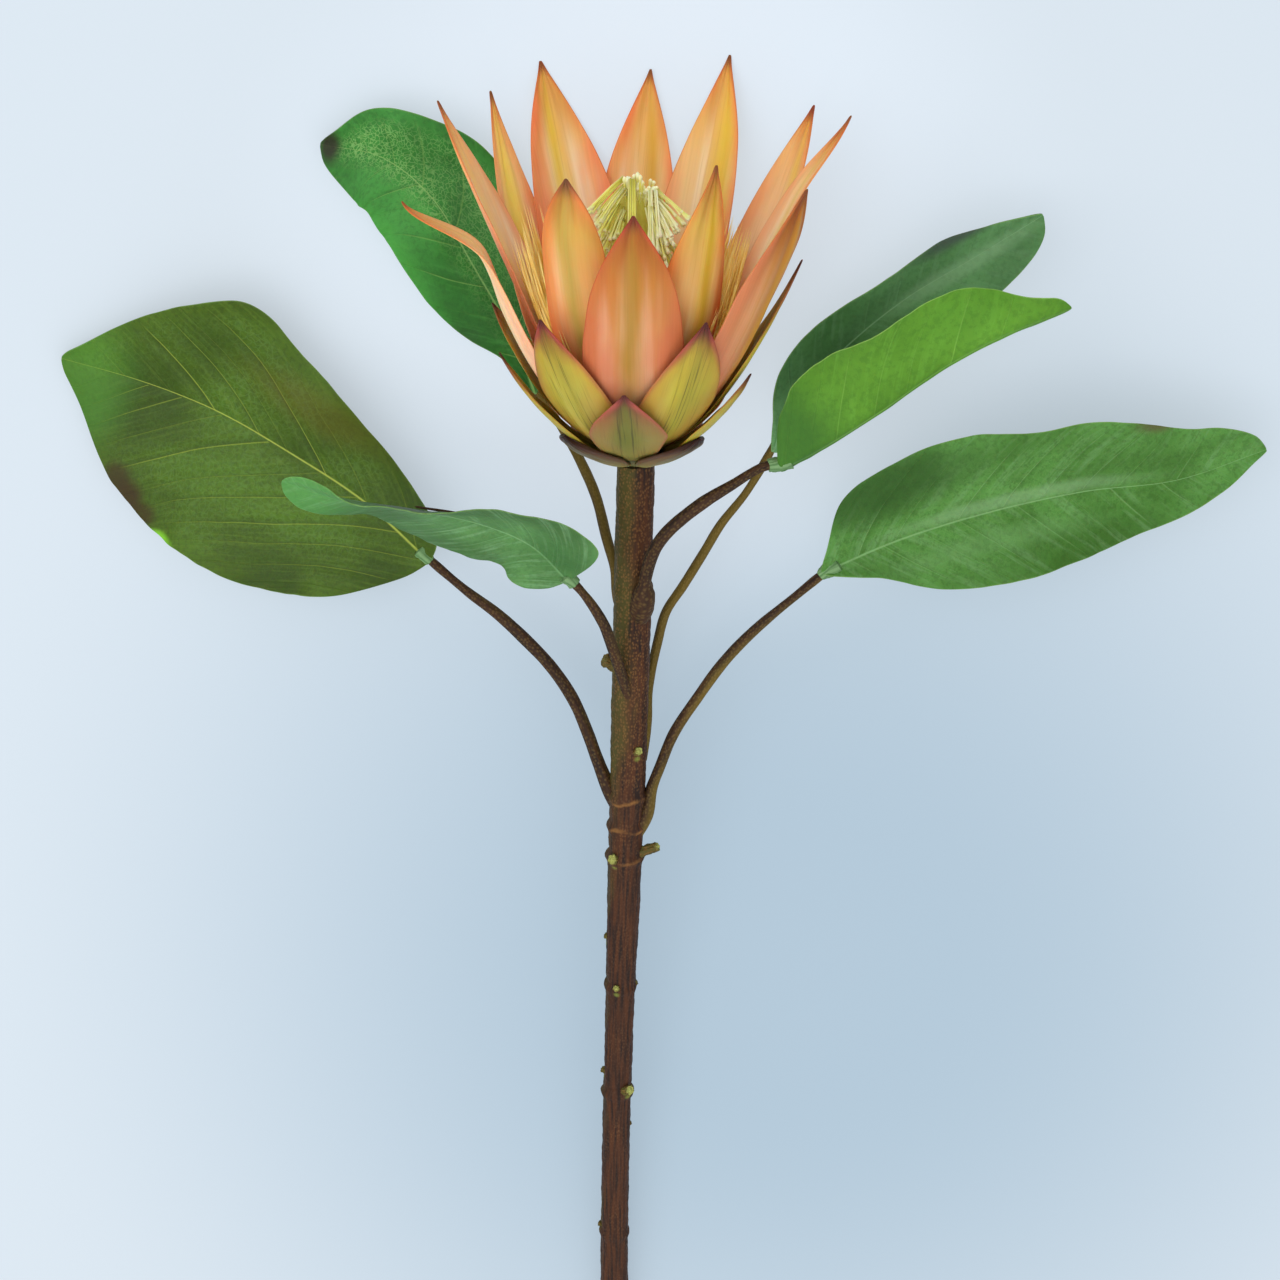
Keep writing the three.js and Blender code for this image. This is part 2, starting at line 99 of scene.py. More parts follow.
def wander(x: np.ndarray, seed: float) -> np.ndarray:
    """Makes a slow irregular wave.

    Args:
        x: Where to read it; its period is near 1.
        seed: Which wave it is.

    Returns:
        Values between about -1 and 1.
    """
    waves = ((1.0, 1.0), (1.83, 0.6), (3.1, 0.35), (5.3, 0.2))
    total = sum(k * np.sin(math.tau * (f * x + seed * (1.37 + f))) for f, k in waves)
    return total / sum(k for _, k in waves)


class Line:
    """A smooth line in space through given points, closer to them where they stand close."""

    def __init__(self, points: Iterable[Iterable[float]]) -> None:
        """Keeps the points, with one more at each end that carries the line on straight.

        Args:
            points: What the line passes through, in millimetres.
        """
        inner = np.asarray(list(points), float)
        first, last = 2 * inner[0] - inner[1], 2 * inner[-1] - inner[-2]
        self.points = np.vstack([first, inner, last])
        self.spans = np.linalg.norm(np.diff(self.points, axis=0), axis=1) ** 0.5

    def at(self, t: np.ndarray) -> Points:
        """Reads the line.

        Args:
            t: From 0 at its start to 1 at its end.

        Returns:
            One point for each t.
        """
        count = len(self.points) - 3
        i = np.clip(np.floor(np.clip(t, 0, 1) * count).astype(int), 0, count - 1)
        w = (np.clip(t, 0, 1) * count - i)[:, None]
        p0, p1, p2, p3 = (self.points[i + k] for k in range(4))
        d0, d1, d2 = (self.spans[i + k][:, None] for k in range(3))
        m1 = ((p1 - p0) / d0 - (p2 - p0) / (d0 + d1) + (p2 - p1) / d1) * d1
        m2 = ((p2 - p1) / d1 - (p3 - p1) / (d1 + d2) + (p3 - p2) / d2) * d1
        square = -3 * p1 + 3 * p2 - 2 * m1 - m2
        cube = 2 * p1 - 2 * p2 + m1 + m2
        return p1 + m1 * w + square * w**2 + cube * w**3

    def tangent(self, t: np.ndarray) -> Points:
        """Returns the direction of the line at t, as unit vectors."""
        return unit(self.at(np.minimum(t + 1e-4, 1)) - self.at(np.maximum(t - 1e-4, 0)))

    def even(self, count: int) -> Points:
        """Divides the line evenly.

        Args:
            count: How many points to give.

        Returns:
            Points at even steps along the line's length.
        """
        dense = self.at(np.linspace(0, 1, 1200))
        run = np.concatenate([[0], np.cumsum(np.linalg.norm(np.diff(dense, axis=0), axis=1))])
        steps = np.linspace(0, run[-1], count)
        return np.stack([np.interp(steps, run, dense[:, k]) for k in range(3)], -1)


def unit(vectors: Points) -> Points:
    """Returns the vectors at length 1."""
    return vectors / np.maximum(np.linalg.norm(vectors, axis=-1, keepdims=True), 1e-12)


def frames_along(points: Points, start: Iterable[float]) -> tuple[Points, Points]:
    """Carries two directions square to a line along it without twisting them.

    Args:
        points: The line's points, in order.
        start: Roughly where the first direction points at the line's start.

    Returns:
        The two directions at each point.
    """
    along = unit(np.gradient(points, axis=0))
    side = np.asarray(list(start), float)
    firsts = []
    for direction in along:
        side = unit(side - direction * side.dot(direction))
        firsts.append(side)
    first = np.array(firsts)
    return first, np.cross(along, first)


@dataclass(frozen=True)
class Laid:
    """How the plant lies on the table."""

    tilt_deg: float = 5.5
    origin_mm: tuple[float, float, float] = (-9.5, 128.0, 41.95)

    def place(self, points: Points) -> Points:
        """Lays points down on the table.

        Args:
            points: Plant points in millimetres.

        Returns:
            Table points in metres, none below the table.
        """
        turn = math.radians(self.tilt_deg - 90)
        x, y, z = np.asarray(points, float).T
        across, up = math.cos(turn) * y - math.sin(turn) * z, math.sin(turn) * y + math.cos(turn) * z
        placed = (np.stack([x, across, up], -1) + self.origin_mm) * MM
        placed[:, 2] = np.maximum(placed[:, 2], 0)
        return placed


LAID = Laid()


# --------------------------------------------------------------------------------- mesh workshop


class Workshop:
    """Makes and finishes meshes with Blender's own operators."""

    @staticmethod
    def clear() -> None:
        """Deselects everything, so that an operator acts only on what comes next."""
        bpy.ops.object.select_all(action="DESELECT")

    @staticmethod
    def grid(name: str, along: int, across: int) -> bpy.types.Object:
        """Adds a flat grid, 2 by 2, which a surface then bends into place.

        Args:
            name: The piece's name.
            along: Faces along the piece, on Y.
            across: Faces across it, on X.

        Returns:
            The new object, selected and active.
        """
        Workshop.clear()
        bpy.ops.mesh.primitive_grid_add(x_subdivisions=across, y_subdivisions=along, size=2)
        piece = bpy.context.object
        piece.name = piece.data.name = name
        return piece

    @staticmethod
    def coordinates(piece: bpy.types.Object) -> Points:
        """Returns the piece's vertices as an array."""
        flat = np.empty(len(piece.data.vertices) * 3)
        piece.data.vertices.foreach_get("co", flat)
        return flat.reshape(-1, 3)

    @staticmethod
    def move(piece: bpy.types.Object, points: Points) -> None:
        """Moves the piece's vertices to the points."""
        piece.data.vertices.foreach_set("co", np.asarray(points, float).ravel())
        piece.data.update()

    @staticmethod
    def finish(piece: bpy.types.Object, modifier: str, **settings: Any) -> None:
        """Adds a modifier with its settings and applies it.

        Args:
            piece: What it finishes.
            modifier: The modifier's type, as Blender names it.
            settings: Its settings.
        """
        Workshop.clear()
        piece.select_set(True)
        bpy.context.view_layer.objects.active = piece
        made = piece.modifiers.new(modifier.title(), modifier)
        for key, value in settings.items():
            setattr(made, key, value)
        bpy.ops.object.modifier_apply(modifier=made.name)

    @staticmethod
    def weld(piece: bpy.types.Object, reach_mm: float = 0.01) -> None:
        """Merges points that meet, closes what that joins, and turns all faces outwards.

        Args:
            piece: What it welds.
            reach_mm: How near points are merged.
        """
        Workshop.clear()
        piece.select_set(True)
        bpy.context.view_layer.objects.active = piece
        bpy.ops.object.mode_set(mode="EDIT")
        bpy.ops.mesh.select_all(action="SELECT")
        bpy.ops.mesh.remove_doubles(threshold=reach_mm * MM)
        bpy.ops.mesh.normals_make_consistent(inside=False)
        bpy.ops.object.mode_set(mode="OBJECT")

    @staticmethod
    def smooth_shade(piece: bpy.types.Object, angle_deg: float = 50) -> None:
        """Shades the piece smooth, but for sharp edges.

        Args:
            piece: What it shades.
            angle_deg: The angle past which an edge stays sharp.
        """
        Workshop.clear()
        piece.select_set(True)
        bpy.context.view_layer.objects.active = piece
        bpy.ops.object.shade_smooth_by_angle(angle=math.radians(angle_deg))

    @staticmethod
    def corners(piece: bpy.types.Object) -> tuple[np.ndarray, np.ndarray]:
        """Reads where the corners of the piece's faces are on it.

        Args:
            piece: A piece made from a grid.

        Returns:
            The place along, from 0 to 1, and the place across, from -1 to 1, of each corner.
        """
        layer = piece.data.uv_layers[0]
        flat = np.empty(len(piece.data.loops) * 2)
        layer.uv.foreach_get("vector", flat)
        across, along = flat.reshape(-1, 2).T
        return along, across * 2 - 1

    @staticmethod
    def note(piece: bpy.types.Object, name: str, x: Any, y: Any, z: Any) -> None:
        """Keeps three measures at each corner of the piece, for its material to read.

        Args:
            piece: What they belong to.
            name: The attribute's name.
            x: The first measure, one value or one for each corner.
            y: The second.
            z: The third.
        """
        count = len(piece.data.loops)
        stack = np.stack([np.broadcast_to(np.asarray(k, float), (count,)) for k in (x, y, z)], -1)
        kept = piece.data.attributes.new(name, "FLOAT_VECTOR", "CORNER")
        kept.data.foreach_set("vector", stack.ravel())

    @staticmethod
    def sheet(
        name: str, surface: Surface, along: int, across: int, thick: float, rim: float
    ) -> bpy.types.Object:
        """Makes a thin closed blade on a surface, thinner at its margins.

        Args:
            name: The piece's name.
            surface: Gives plant points for u from 0 to 1 along and v from -1 to 1 across.
            along: Faces along it, before it is made smoother.
            across: Faces across it.
            thick: Its thickness, in millimetres.
            rim: The share of that which is left at its margins.

        Returns:
            The blade, placed on the table.
        """
        piece = Workshop.grid(name, along, across)
        flat = Workshop.coordinates(piece)
        u, v = (flat[:, 1] + 1) / 2, flat[:, 0]
        Workshop.move(piece, LAID.place(surface(u, v)))
        full = piece.vertex_groups.new(name="full")
        margin = np.minimum(1 - np.abs(v), np.minimum(u, 1 - u) * 2)
        for i, weight in enumerate(smooth(margin, 0, 0.35)):
            full.add([i], float(weight), "REPLACE")
        Workshop.finish(
            piece,
            "SOLIDIFY",
            thickness=thick * MM,
            offset=0,
            vertex_group="full",
            thickness_vertex_group=rim,
        )
        Workshop.finish(piece, "SUBSURF", levels=1, render_levels=1)
        piece.vertex_groups.clear()
        Workshop.settle(piece)
        return piece

    @staticmethod
    def settle(piece: bpy.types.Object) -> None:
        """Presses flat whatever of the piece would reach below the table."""
        points = Workshop.coordinates(piece)
        points[:, 2] = np.maximum(points[:, 2], 0)
        Workshop.move(piece, points)

    @staticmethod
    def tube(
        name: str, centres: Points, firsts: Points, seconds: Points, radii: np.ndarray
    ) -> bpy.types.Object:
        """Makes a closed round limb from rings, with a pole wherever a ring has no radius.

        Args:
            name: The piece's name.
            centres: The middle of each ring, in millimetres.
            firsts: The direction of each ring's angle 0.
            seconds: The direction of its quarter turn.
            radii: One row for each ring, with the radius at each step round it.

        Returns:
            The limb, placed on the table.
        """
        rings, sides = radii.shape
        piece = Workshop.grid(name, rings - 1, sides)
        flat = Workshop.coordinates(piece)
        ring = np.rint((flat[:, 1] + 1) / 2 * (rings - 1)).astype(int)
        step = np.rint((flat[:, 0] + 1) / 2 * sides).astype(int)
        turn = math.tau * step / sides
        radius = radii[ring, step % sides]
        out = firsts[ring] * np.cos(turn)[:, None] + seconds[ring] * np.sin(turn)[:, None]
        Workshop.move(piece, LAID.place(centres[ring] + out * radius[:, None]))
        Workshop.weld(piece)
        return piece

    @staticmethod
    def hand_in(piece: bpy.types.Object, finish: bpy.types.Material, slot: str, *nodes: str) -> None:
        """Dresses a piece, hides the solids it stands for and fixes it to the flower's body.

        Args:
            piece: The finished piece.
            finish: Its material.
            slot: The record's material slot; not used.
            nodes: The names of the solids it replaces.
        """
        piece.data.materials.clear()
        piece.data.materials.append(finish)
        if nodes:
            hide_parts(*nodes)
        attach(piece, BODY)
        log.info("%s: %d faces", piece.name, len(piece.data.polygons))


# -------------------------------------------------------------------------------------- finishes

PLACE = "place"  # across, along and own number, in millimetres: where a point is on its piece
REACH = "reach"  # millimetres to the margin, millimetres to the tip, and the share of the length
SIDE = "side"  # own number, half width in millimetres, and place across it from -1 to 1
VEIN = "vein"  # number of the side vein, how strong it is here, and which half of the leaf


def linear(colour: str) -> tuple[float, float, float, float]:
    """Turns an sRGB hex colour to a linear one."""
    parts = (int(colour[i : i + 2], 16) / 255 for i in (1, 3, 5))
    return (*(c / 12.92 if c <= 0.04045 else ((c + 0.055) / 1.055) ** 2.4 for c in parts), 1.0)


def add(
    tree: bpy.types.NodeTree, kind: str, inputs: Any = (), stops: Any = (), out: str = "", **settings: Any
) -> Any:
    """Adds a node with its settings and links.

    Args:
        tree: The material's nodes.
        kind: The node's type, without Blender's prefix.
        inputs: What goes into its live sockets, in order or by name: a socket, a number, a
            vector or a hex colour. None leaves a socket as it is.
        stops: For a colour ramp, its places and hex colours or grey levels.
        out: The name of the output to return, where it isn't the first live one.
        settings: Other properties of the node.

    Returns:
        The node's output socket, or the node itself where it has none.
    """
    made = tree.nodes.new("ShaderNode" + kind)
    for key, value in settings.items():
        setattr(made, key, value)
    for i, (place, colour) in enumerate(stops):
        ramp = made.color_ramp
        stop = ramp.elements[i] if i < 2 else ramp.elements.new(place)
        stop.position = place
        stop.color = linear(colour) if isinstance(colour, str) else (colour, colour, colour, 1)
    live = [socket for socket in made.inputs if socket.enabled]
    pairs = inputs.items() if isinstance(inputs, dict) else enumerate(inputs)
    for key, value in pairs:
        if value is None:
            continue
        socket = live[key] if isinstance(key, int) else next(s for s in live if s.name == key)
        if isinstance(value, bpy.types.NodeSocket):
            tree.links.new(value, socket)
        else:
            socket.default_value = linear(value) if isinstance(value, str) else value
    if out:
        return made.outputs[out]
    return next((socket for socket in made.outputs if socket.enabled), made)


def ease(tree: bpy.types.NodeTree, value: Any, low: Any, high: Any, first: Any, last: Any) -> Any:
    """Returns a socket that goes gently from first to last as the value goes from low to high."""
    return add(tree, "MapRange", (value, low, high, first, last), interpolation_type="SMOOTHSTEP")


def blend(tree: bpy.types.NodeTree, share: Any, colour: Any, other: Any) -> Any:
    """Returns a socket with the share of the other colour mixed into the colour."""
    return add(tree, "Mix", (share, colour, other), data_type="RGBA")


def maths(tree: bpy.types.NodeTree, operation: str, *values: Any) -> Any:
    """Returns a socket with what the operation makes of the values."""
    return add(tree, "Math", values, operation=operation)


def noise(
    tree: bpy.types.NodeTree, place: Any, stretch: tuple[float, float, float], detail: float,
    roughness: float = 0.5,
) -> Any:
    """Adds soft noise whose patches are 1 over the stretch long on each axis.

    Args:
        tree: The material's nodes.
        place: The socket of the place, in millimetres.
        stretch: What the place is multiplied by on each axis.
        detail: How many finer waves it has.
        roughness: How strong those are.

    Returns:
        The noise's socket.
    """
    at = add(tree, "VectorMath", (place, stretch), operation="MULTIPLY")
    return add(tree, "TexNoise", {"Vector": at, "Scale": 1.0, "Detail": detail, "Roughness": roughness})


@dataclass(frozen=True)
class Finish:
    """What every finish of the flower has in common."""

    name: str

    def fresh(self) -> tuple[bpy.types.Material, bpy.types.NodeTree]:
        """Returns a new empty material and its nodes."""
        material = bpy.data.materials.new(self.name)
        material.use_nodes = True
        material.node_tree.nodes.clear()
        return material, material.node_tree

    def measures(self, tree: bpy.types.NodeTree, name: str) -> tuple[Any, Any, Any, Any]:
        """Reads three measures that a piece keeps at its corners.

        Args:
            tree: The material's nodes.
            name: The attribute's name.

        Returns:
            The vector and its three parts.
        """
        vector = add(tree, "Attribute", out="Vector", attribute_name=name, attribute_type="GEOMETRY")
        split = add(tree, "SeparateXYZ", (vector,)).node
        return (vector, *split.outputs)

    def close(
        self, tree: bpy.types.NodeTree, colour: Any, relief: Any, rough: Any, depth_mm: float, **skin: Any
    ) -> None:
        """Adds the shader, its relief and the output.

        Args:
            tree: The material's nodes.
            colour: The colour's socket.
            relief: The height's socket, from 0 to 1.
            rough: The roughness, a socket or a number.
            depth_mm: How deep the relief is, in millimetres.
            skin: The shader's own values, the same all over the surface, by socket name with
                underscores for spaces.
        """
        bump = add(tree, "Bump", {"Height": relief, "Distance": depth_mm * MM, "Strength": 1.0})
        own = {key.replace("_", " "): value for key, value in skin.items()}
        shader = add(
            tree, "BsdfPrincipled", {"Base Color": colour, "Roughness": rough, "Normal": bump, **own}
        )
        add(tree, "OutputMaterial", {"Surface": shader})


@dataclass(frozen=True)
class PrintedPetal(Finish):
    """Soft EVA foam sheet, hot-pressed to a petal and airbrushed: matt, peach with a mustard stripe."""

    shades: tuple[tuple[float, str], ...] = (
        (0.0, "#D8783A"),
        (0.2, "#E6925C"),
        (0.42, "#F2BE94"),
        (0.66, "#F0CC90"),
        (0.86, "#DCAA5C"),
        (0.96, "#C4883A"),
        (1.0, "#A4541C"),
    )
    stripe: str = "#DDB830"
    stripe_side: float = 0.0  # where the stripe runs, in shares of the half width
    stripe_width: float = 0.4
    stripe_power: float = 0.9
    cream: str = "#FBE6C2"
    cream_power: float = 0.6
    coral: str = "#EC6E44"
    coral_power: float = 0.66
    tip: str = "#6A3616"
    tip_mm: float = 4.0
    margin: str = "#B06428"
    margin_mm: float = 0.35
    lines: str = "#A06A1E"
    lines_power: float = 0.28

    def material(self) -> bpy.types.Material:
        """Returns the material, which reads where it is on the petal."""
        made, tree = self.fresh()
        place, *_ = self.measures(tree, PLACE)
        _, edge, to_tip, share = self.measures(tree, REACH)
        *_, side = self.measures(tree, SIDE)
        # Airbrushed bands some 5 mm wide and 8 cm long, softer clouds of 1.5 by 3 cm, and streaks
        # of 0.7 mm.
        bands = noise(tree, place, (0.2, 0.012, 1.0), detail=2.0, roughness=0.45)
        cloud = noise(tree, place, (0.07, 0.03, 3.0), detail=2.0)
        grain = noise(tree, place, (1.4, 0.03, 1.0), detail=3.0, roughness=0.6)
        # The airbrushed length of the petal, its steps shifted by the bands. Its orange root is partly the
        # airbrush and partly painted glow, standing in for light that passes between the petals.
        shift = maths(tree, "MULTIPLY_ADD", bands, 0.2, -0.1)
        run = add(tree, "Math", (share, shift), operation="ADD", use_clamp=True)
        colour = add(tree, "ValToRGB", (run,), stops=self.shades)
        # Cream bands where the paint is thin, away from the margins and the tip.
        pale = ease(tree, bands, 0.42, 0.64, 0.0, self.cream_power)
        inner = ease(tree, edge, 0.5, 7.0, 0.0, 1.0)
        body = ease(tree, to_tip, 6.0, 34.0, 0.0, 1.0)
        paled = maths(tree, "MULTIPLY", pale, inner)
        paled = maths(tree, "MULTIPLY", paled, body)
        colour = blend(tree, paled, colour, self.cream)
        # Coral airbrushed low down and along the sides, by soft clouds.
        outer = maths(tree, "ABSOLUTE", side)
        low = maths(tree, "MULTIPLY", outer, 0.7)
        low = maths(tree, "MULTIPLY_ADD", share, -0.8, low)
        low = maths(tree, "MULTIPLY_ADD", cloud, 1.1, low)
        blush = ease(tree, low, 0.1, 0.72, 0.0, self.coral_power)
        colour = blend(tree, blush, colour, self.coral)
        # The stripe down the petal, which wavers a little and fades at both ends.
        waver = maths(tree, "MULTIPLY_ADD", cloud, 0.3, -0.15 - self.stripe_side)
        off = maths(tree, "ADD", side, waver)
        off = maths(tree, "ABSOLUTE", off)
        soft = maths(tree, "MULTIPLY_ADD", grain, 0.16, off)
        stripe = ease(tree, soft, self.stripe_width + 0.16, self.stripe_width * 0.2, 0.0, self.stripe_power)
        fade = add(
            tree, "ValToRGB", (share,),
            stops=((0.0, 0.0), (0.3, 0.35), (0.52, 1.0), (0.86, 0.9), (1.0, 0.1)),
        )
        striped = maths(tree, "MULTIPLY", stripe, fade)
        colour = blend(tree, striped, colour, self.stripe)
        # Drawn lines 0.7 mm apart, strongest along the middle.
        drawn = ease(tree, grain, 0.5, 0.66, 0.0, self.lines_power)
        middle = ease(tree, outer, 0.85, 0.1, 0.0, 1.0)
        drawn = maths(tree, "MULTIPLY", drawn, middle)
        colour = blend(tree, drawn, colour, self.lines)
        # The singed tip, which runs further down both margins, and the margin's thin dark line.
        end = ease(tree, to_tip, self.tip_mm, 0.3, 0.0, 1.0)
        warm = ease(tree, to_tip, self.tip_mm * 3, self.tip_mm * 0.5, 0.0, 1.0)
        reach = maths(tree, "MULTIPLY_ADD", warm, 1.2, self.margin_mm)
        dark = maths(tree, "MULTIPLY_ADD", warm, 0.35, 0.5)
        near = ease(tree, edge, reach, 0.0, 0.0, dark)
        colour = blend(tree, near, colour, self.margin)
        burnt = maths(tree, "MULTIPLY", end, 0.85)
        colour = blend(tree, burnt, colour, self.tip)
        fine = add(tree, "MapRange", (grain, 0.3, 0.7, 0.95, 1.05))
        colour = add(tree, "VectorMath", (colour, fine), operation="SCALE")
        rough = add(tree, "MapRange", (bands, 0.3, 0.7, 0.5, 0.62))
        self.close(
            tree, colour, grain, rough, depth_mm=0.07, Subsurface_Weight=0.35, Subsurface_Scale=0.003,
            Specular_IOR_Level=0.25,
        )
        return made


@dataclass(frozen=True)
class PrintedLeaf(Finish):
    """Polyester leaf sheet, printed and wax-pressed: veins are lines of pale print in a furrow."""

    dark: str = "#355018"
    mid: str = "#466721"
    light: str = "#547B2E"
    vein: str = "#7F8D3E"
    vein_power: float = 0.7
    midrib: str = "#889847"
    net: str = "#709655"
    net_power: float = 0.15
    net_mm: float = 2.0
    net_from_mm: float = -99.0  # how far to the left of the midrib the web reaches
    streak: str = "#7D9C64"
    streak_power: float = 0.2
    # The specks' colour, also used for the painted shade in each side vein's furrow.
    speck: str = "#28470D"
    speck_power: float = 0.15
    speck_mm: float = 1.6
    # How strong the painted shade in each side vein's furrow is.
    furrow_shade_power: float = 0.35
    rim: str = "#7D9D55"
    rim_power: float = 0.4
    spots: tuple[tuple[float, float, float, float, float, str], ...] = ()
    gloss: float = 0.45

    def material(self) -> bpy.types.Material:
        """Returns the material, which reads where it is on the leaf."""
        made, tree = self.fresh()
        place, across, _, own = self.measures(tree, PLACE)
        _, edge, _, share = self.measures(tree, REACH)
        _, vein, strong, _ = self.measures(tree, VEIN)
        # Printed shade in patches some 3 cm wide, and the mottle of the cloth.
        patch = noise(tree, place, (0.034, 0.022, 1.0), detail=2.0)
        speck = 1 / self.speck_mm
        mottle = noise(tree, place, (speck, speck, 1.0), detail=4.0, roughness=0.65)
        colour = add(
            tree, "ValToRGB", (patch,), stops=((0.34, self.dark), (0.5, self.mid), (0.66, self.light))
        )
        # Soft streaks in the print that run out with the side veins, 2 to 3 mm apart.
        streak_at = add(
            tree, "CombineXYZ",
            (maths(tree, "MULTIPLY", vein, 6.0), maths(tree, "MULTIPLY", across, 0.07), own),
        )
        streaks = add(tree, "TexNoise", {"Vector": streak_at, "Scale": 1.0, "Detail": 3.0, "Roughness": 0.6})
        streaky = ease(tree, streaks, 0.46, 0.72, 0.0, self.streak_power)
        colour = blend(tree, streaky, colour, self.streak)
        specks = ease(tree, mottle, 0.52, 0.38, 0.0, self.speck_power)
        colour = blend(tree, specks, colour, self.speck)
        # The web of fine veins, 0.3 mm wide and bent by the cloth, which fades at the margins.
        warp = add(tree, "TexNoise", {"Vector": place, "Scale": 0.3, "Detail": 2.0}, out="Color")
        warped = add(tree, "VectorMath", (warp, (4.0, 4.0, 0.0), place), operation="MULTIPLY_ADD")
        net = add(
            tree, "TexVoronoi", {"Vector": warped, "Scale": 1 / self.net_mm, "Randomness": 1.0},
            feature="DISTANCE_TO_EDGE",
        )
        web = ease(tree, net, 0.13, 0.0, 0.0, self.net_power)
        here = ease(tree, patch, 0.4, 0.6, 0.35, 1.0)
        inner = ease(tree, edge, 2.0, 9.0, 0.0, 1.0)
        web = maths(tree, "MULTIPLY", web, here)
        web = maths(tree, "MULTIPLY", web, inner)
        reached = ease(tree, across, self.net_from_mm, self.net_from_mm + 10, 0.0, 1.0)
        web = maths(tree, "MULTIPLY", web, reached)
        colour = blend(tree, web, colour, self.net)
        # The furrow's painted shade, in the speck colour, on the tip side of each side vein, then the vein's
        # own thin line.
        past = maths(tree, "FRACT", vein)
        shade = ease(tree, past, 0.24, 0.03, 0.0, self.furrow_shade_power)
        shaded = maths(tree, "MULTIPLY", shade, strong)
        colour = blend(tree, shaded, colour, self.speck)
        whole = maths(tree, "PINGPONG", vein, 0.5)
        line = ease(tree, whole, 0.03, 0.004, 0.0, 1.0)
        printed = maths(tree, "MULTIPLY", line, strong)
        veined = maths(tree, "MULTIPLY", printed, self.vein_power)
        colour = blend(tree, veined, colour, self.vein)
        # The midrib, 1.2 mm wide at its foot and a hair at the tip.
        aside = maths(tree, "ABSOLUTE", across)
        width = add(tree, "MapRange", (share, 0.0, 0.9, 0.8, 0.12))
        rib = ease(tree, aside, width, 0.0, 0.0, 0.85)
        colour = blend(tree, rib, colour, self.midrib)
        # The cut rim shows the pale cloth.
        cut = ease(tree, edge, 0.5, 0.0, 0.0, self.rim_power)
        colour = blend(tree, cut, colour, self.rim)
        # Spots of another colour: place across and along, radii, strength and colour. Some are where the
        # airbrush touched; others are painted highlights or painted shade, as noted on each leaf.
        for x, y, wide, long, power, shade_of in self.spots:
            away = add(tree, "VectorMath", (place, (x, y, 0.0)), operation="SUBTRACT")
            scaled = add(tree, "VectorMath", (away, (1 / wide, 1 / long, 0.0)), operation="MULTIPLY")
            far = add(tree, "VectorMath", (scaled,), out="Value", operation="LENGTH")
            ragged = maths(tree, "MULTIPLY_ADD", patch, 0.6, -0.3)
            far = maths(tree, "ADD", far, ragged)
            touched = ease(tree, far, 1.0, 0.25, 0.0, power)
            colour = blend(tree, touched, colour, shade_of)
        fine = add(tree, "MapRange", (mottle, 0.3, 0.7, 0.93, 1.07))
        colour = add(tree, "VectorMath", (colour, fine), operation="SCALE")
        relief = maths(tree, "MULTIPLY_ADD", line, 0.6, mottle)
        rough = add(tree, "MapRange", (mottle, 0.3, 0.7, self.gloss - 0.05, self.gloss + 0.08))
        self.close(
            tree, colour, relief, rough, depth_mm=0.1, Subsurface_Weight=0.08, Subsurface_Scale=0.0015,
            Specular_IOR_Level=0.14,
        )
        return made


@dataclass(frozen=True)
class PrintedBract(PrintedPetal):
    """The same foam sheet airbrushed yellow green, with drawn olive lines and a wine red margin."""

    shades: tuple[tuple[float, str], ...] = (
        (0.0, "#8E8A2D"),
        (0.35, "#9E9528"),
        (0.62, "#AE9E2F"),
        (0.8, "#AA922F"),
        (0.92, "#835123"),
        (1.0, "#38140C"),
    )
    stripe: str = "#7A701E"
    stripe_width: float = 0.55
    stripe_power: float = 0.4
    cream: str = "#B7AA49"
    cream_power: float = 0.5
    coral: str = "#9B472F"
    coral_power: float = 0.45
    tip: str = "#260C0B"
    tip_mm: float = 5.0
    margin: str = "#943B35"
    margin_mm: float = 2.2
    lines: str = "#524915"
    lines_power: float = 0.75


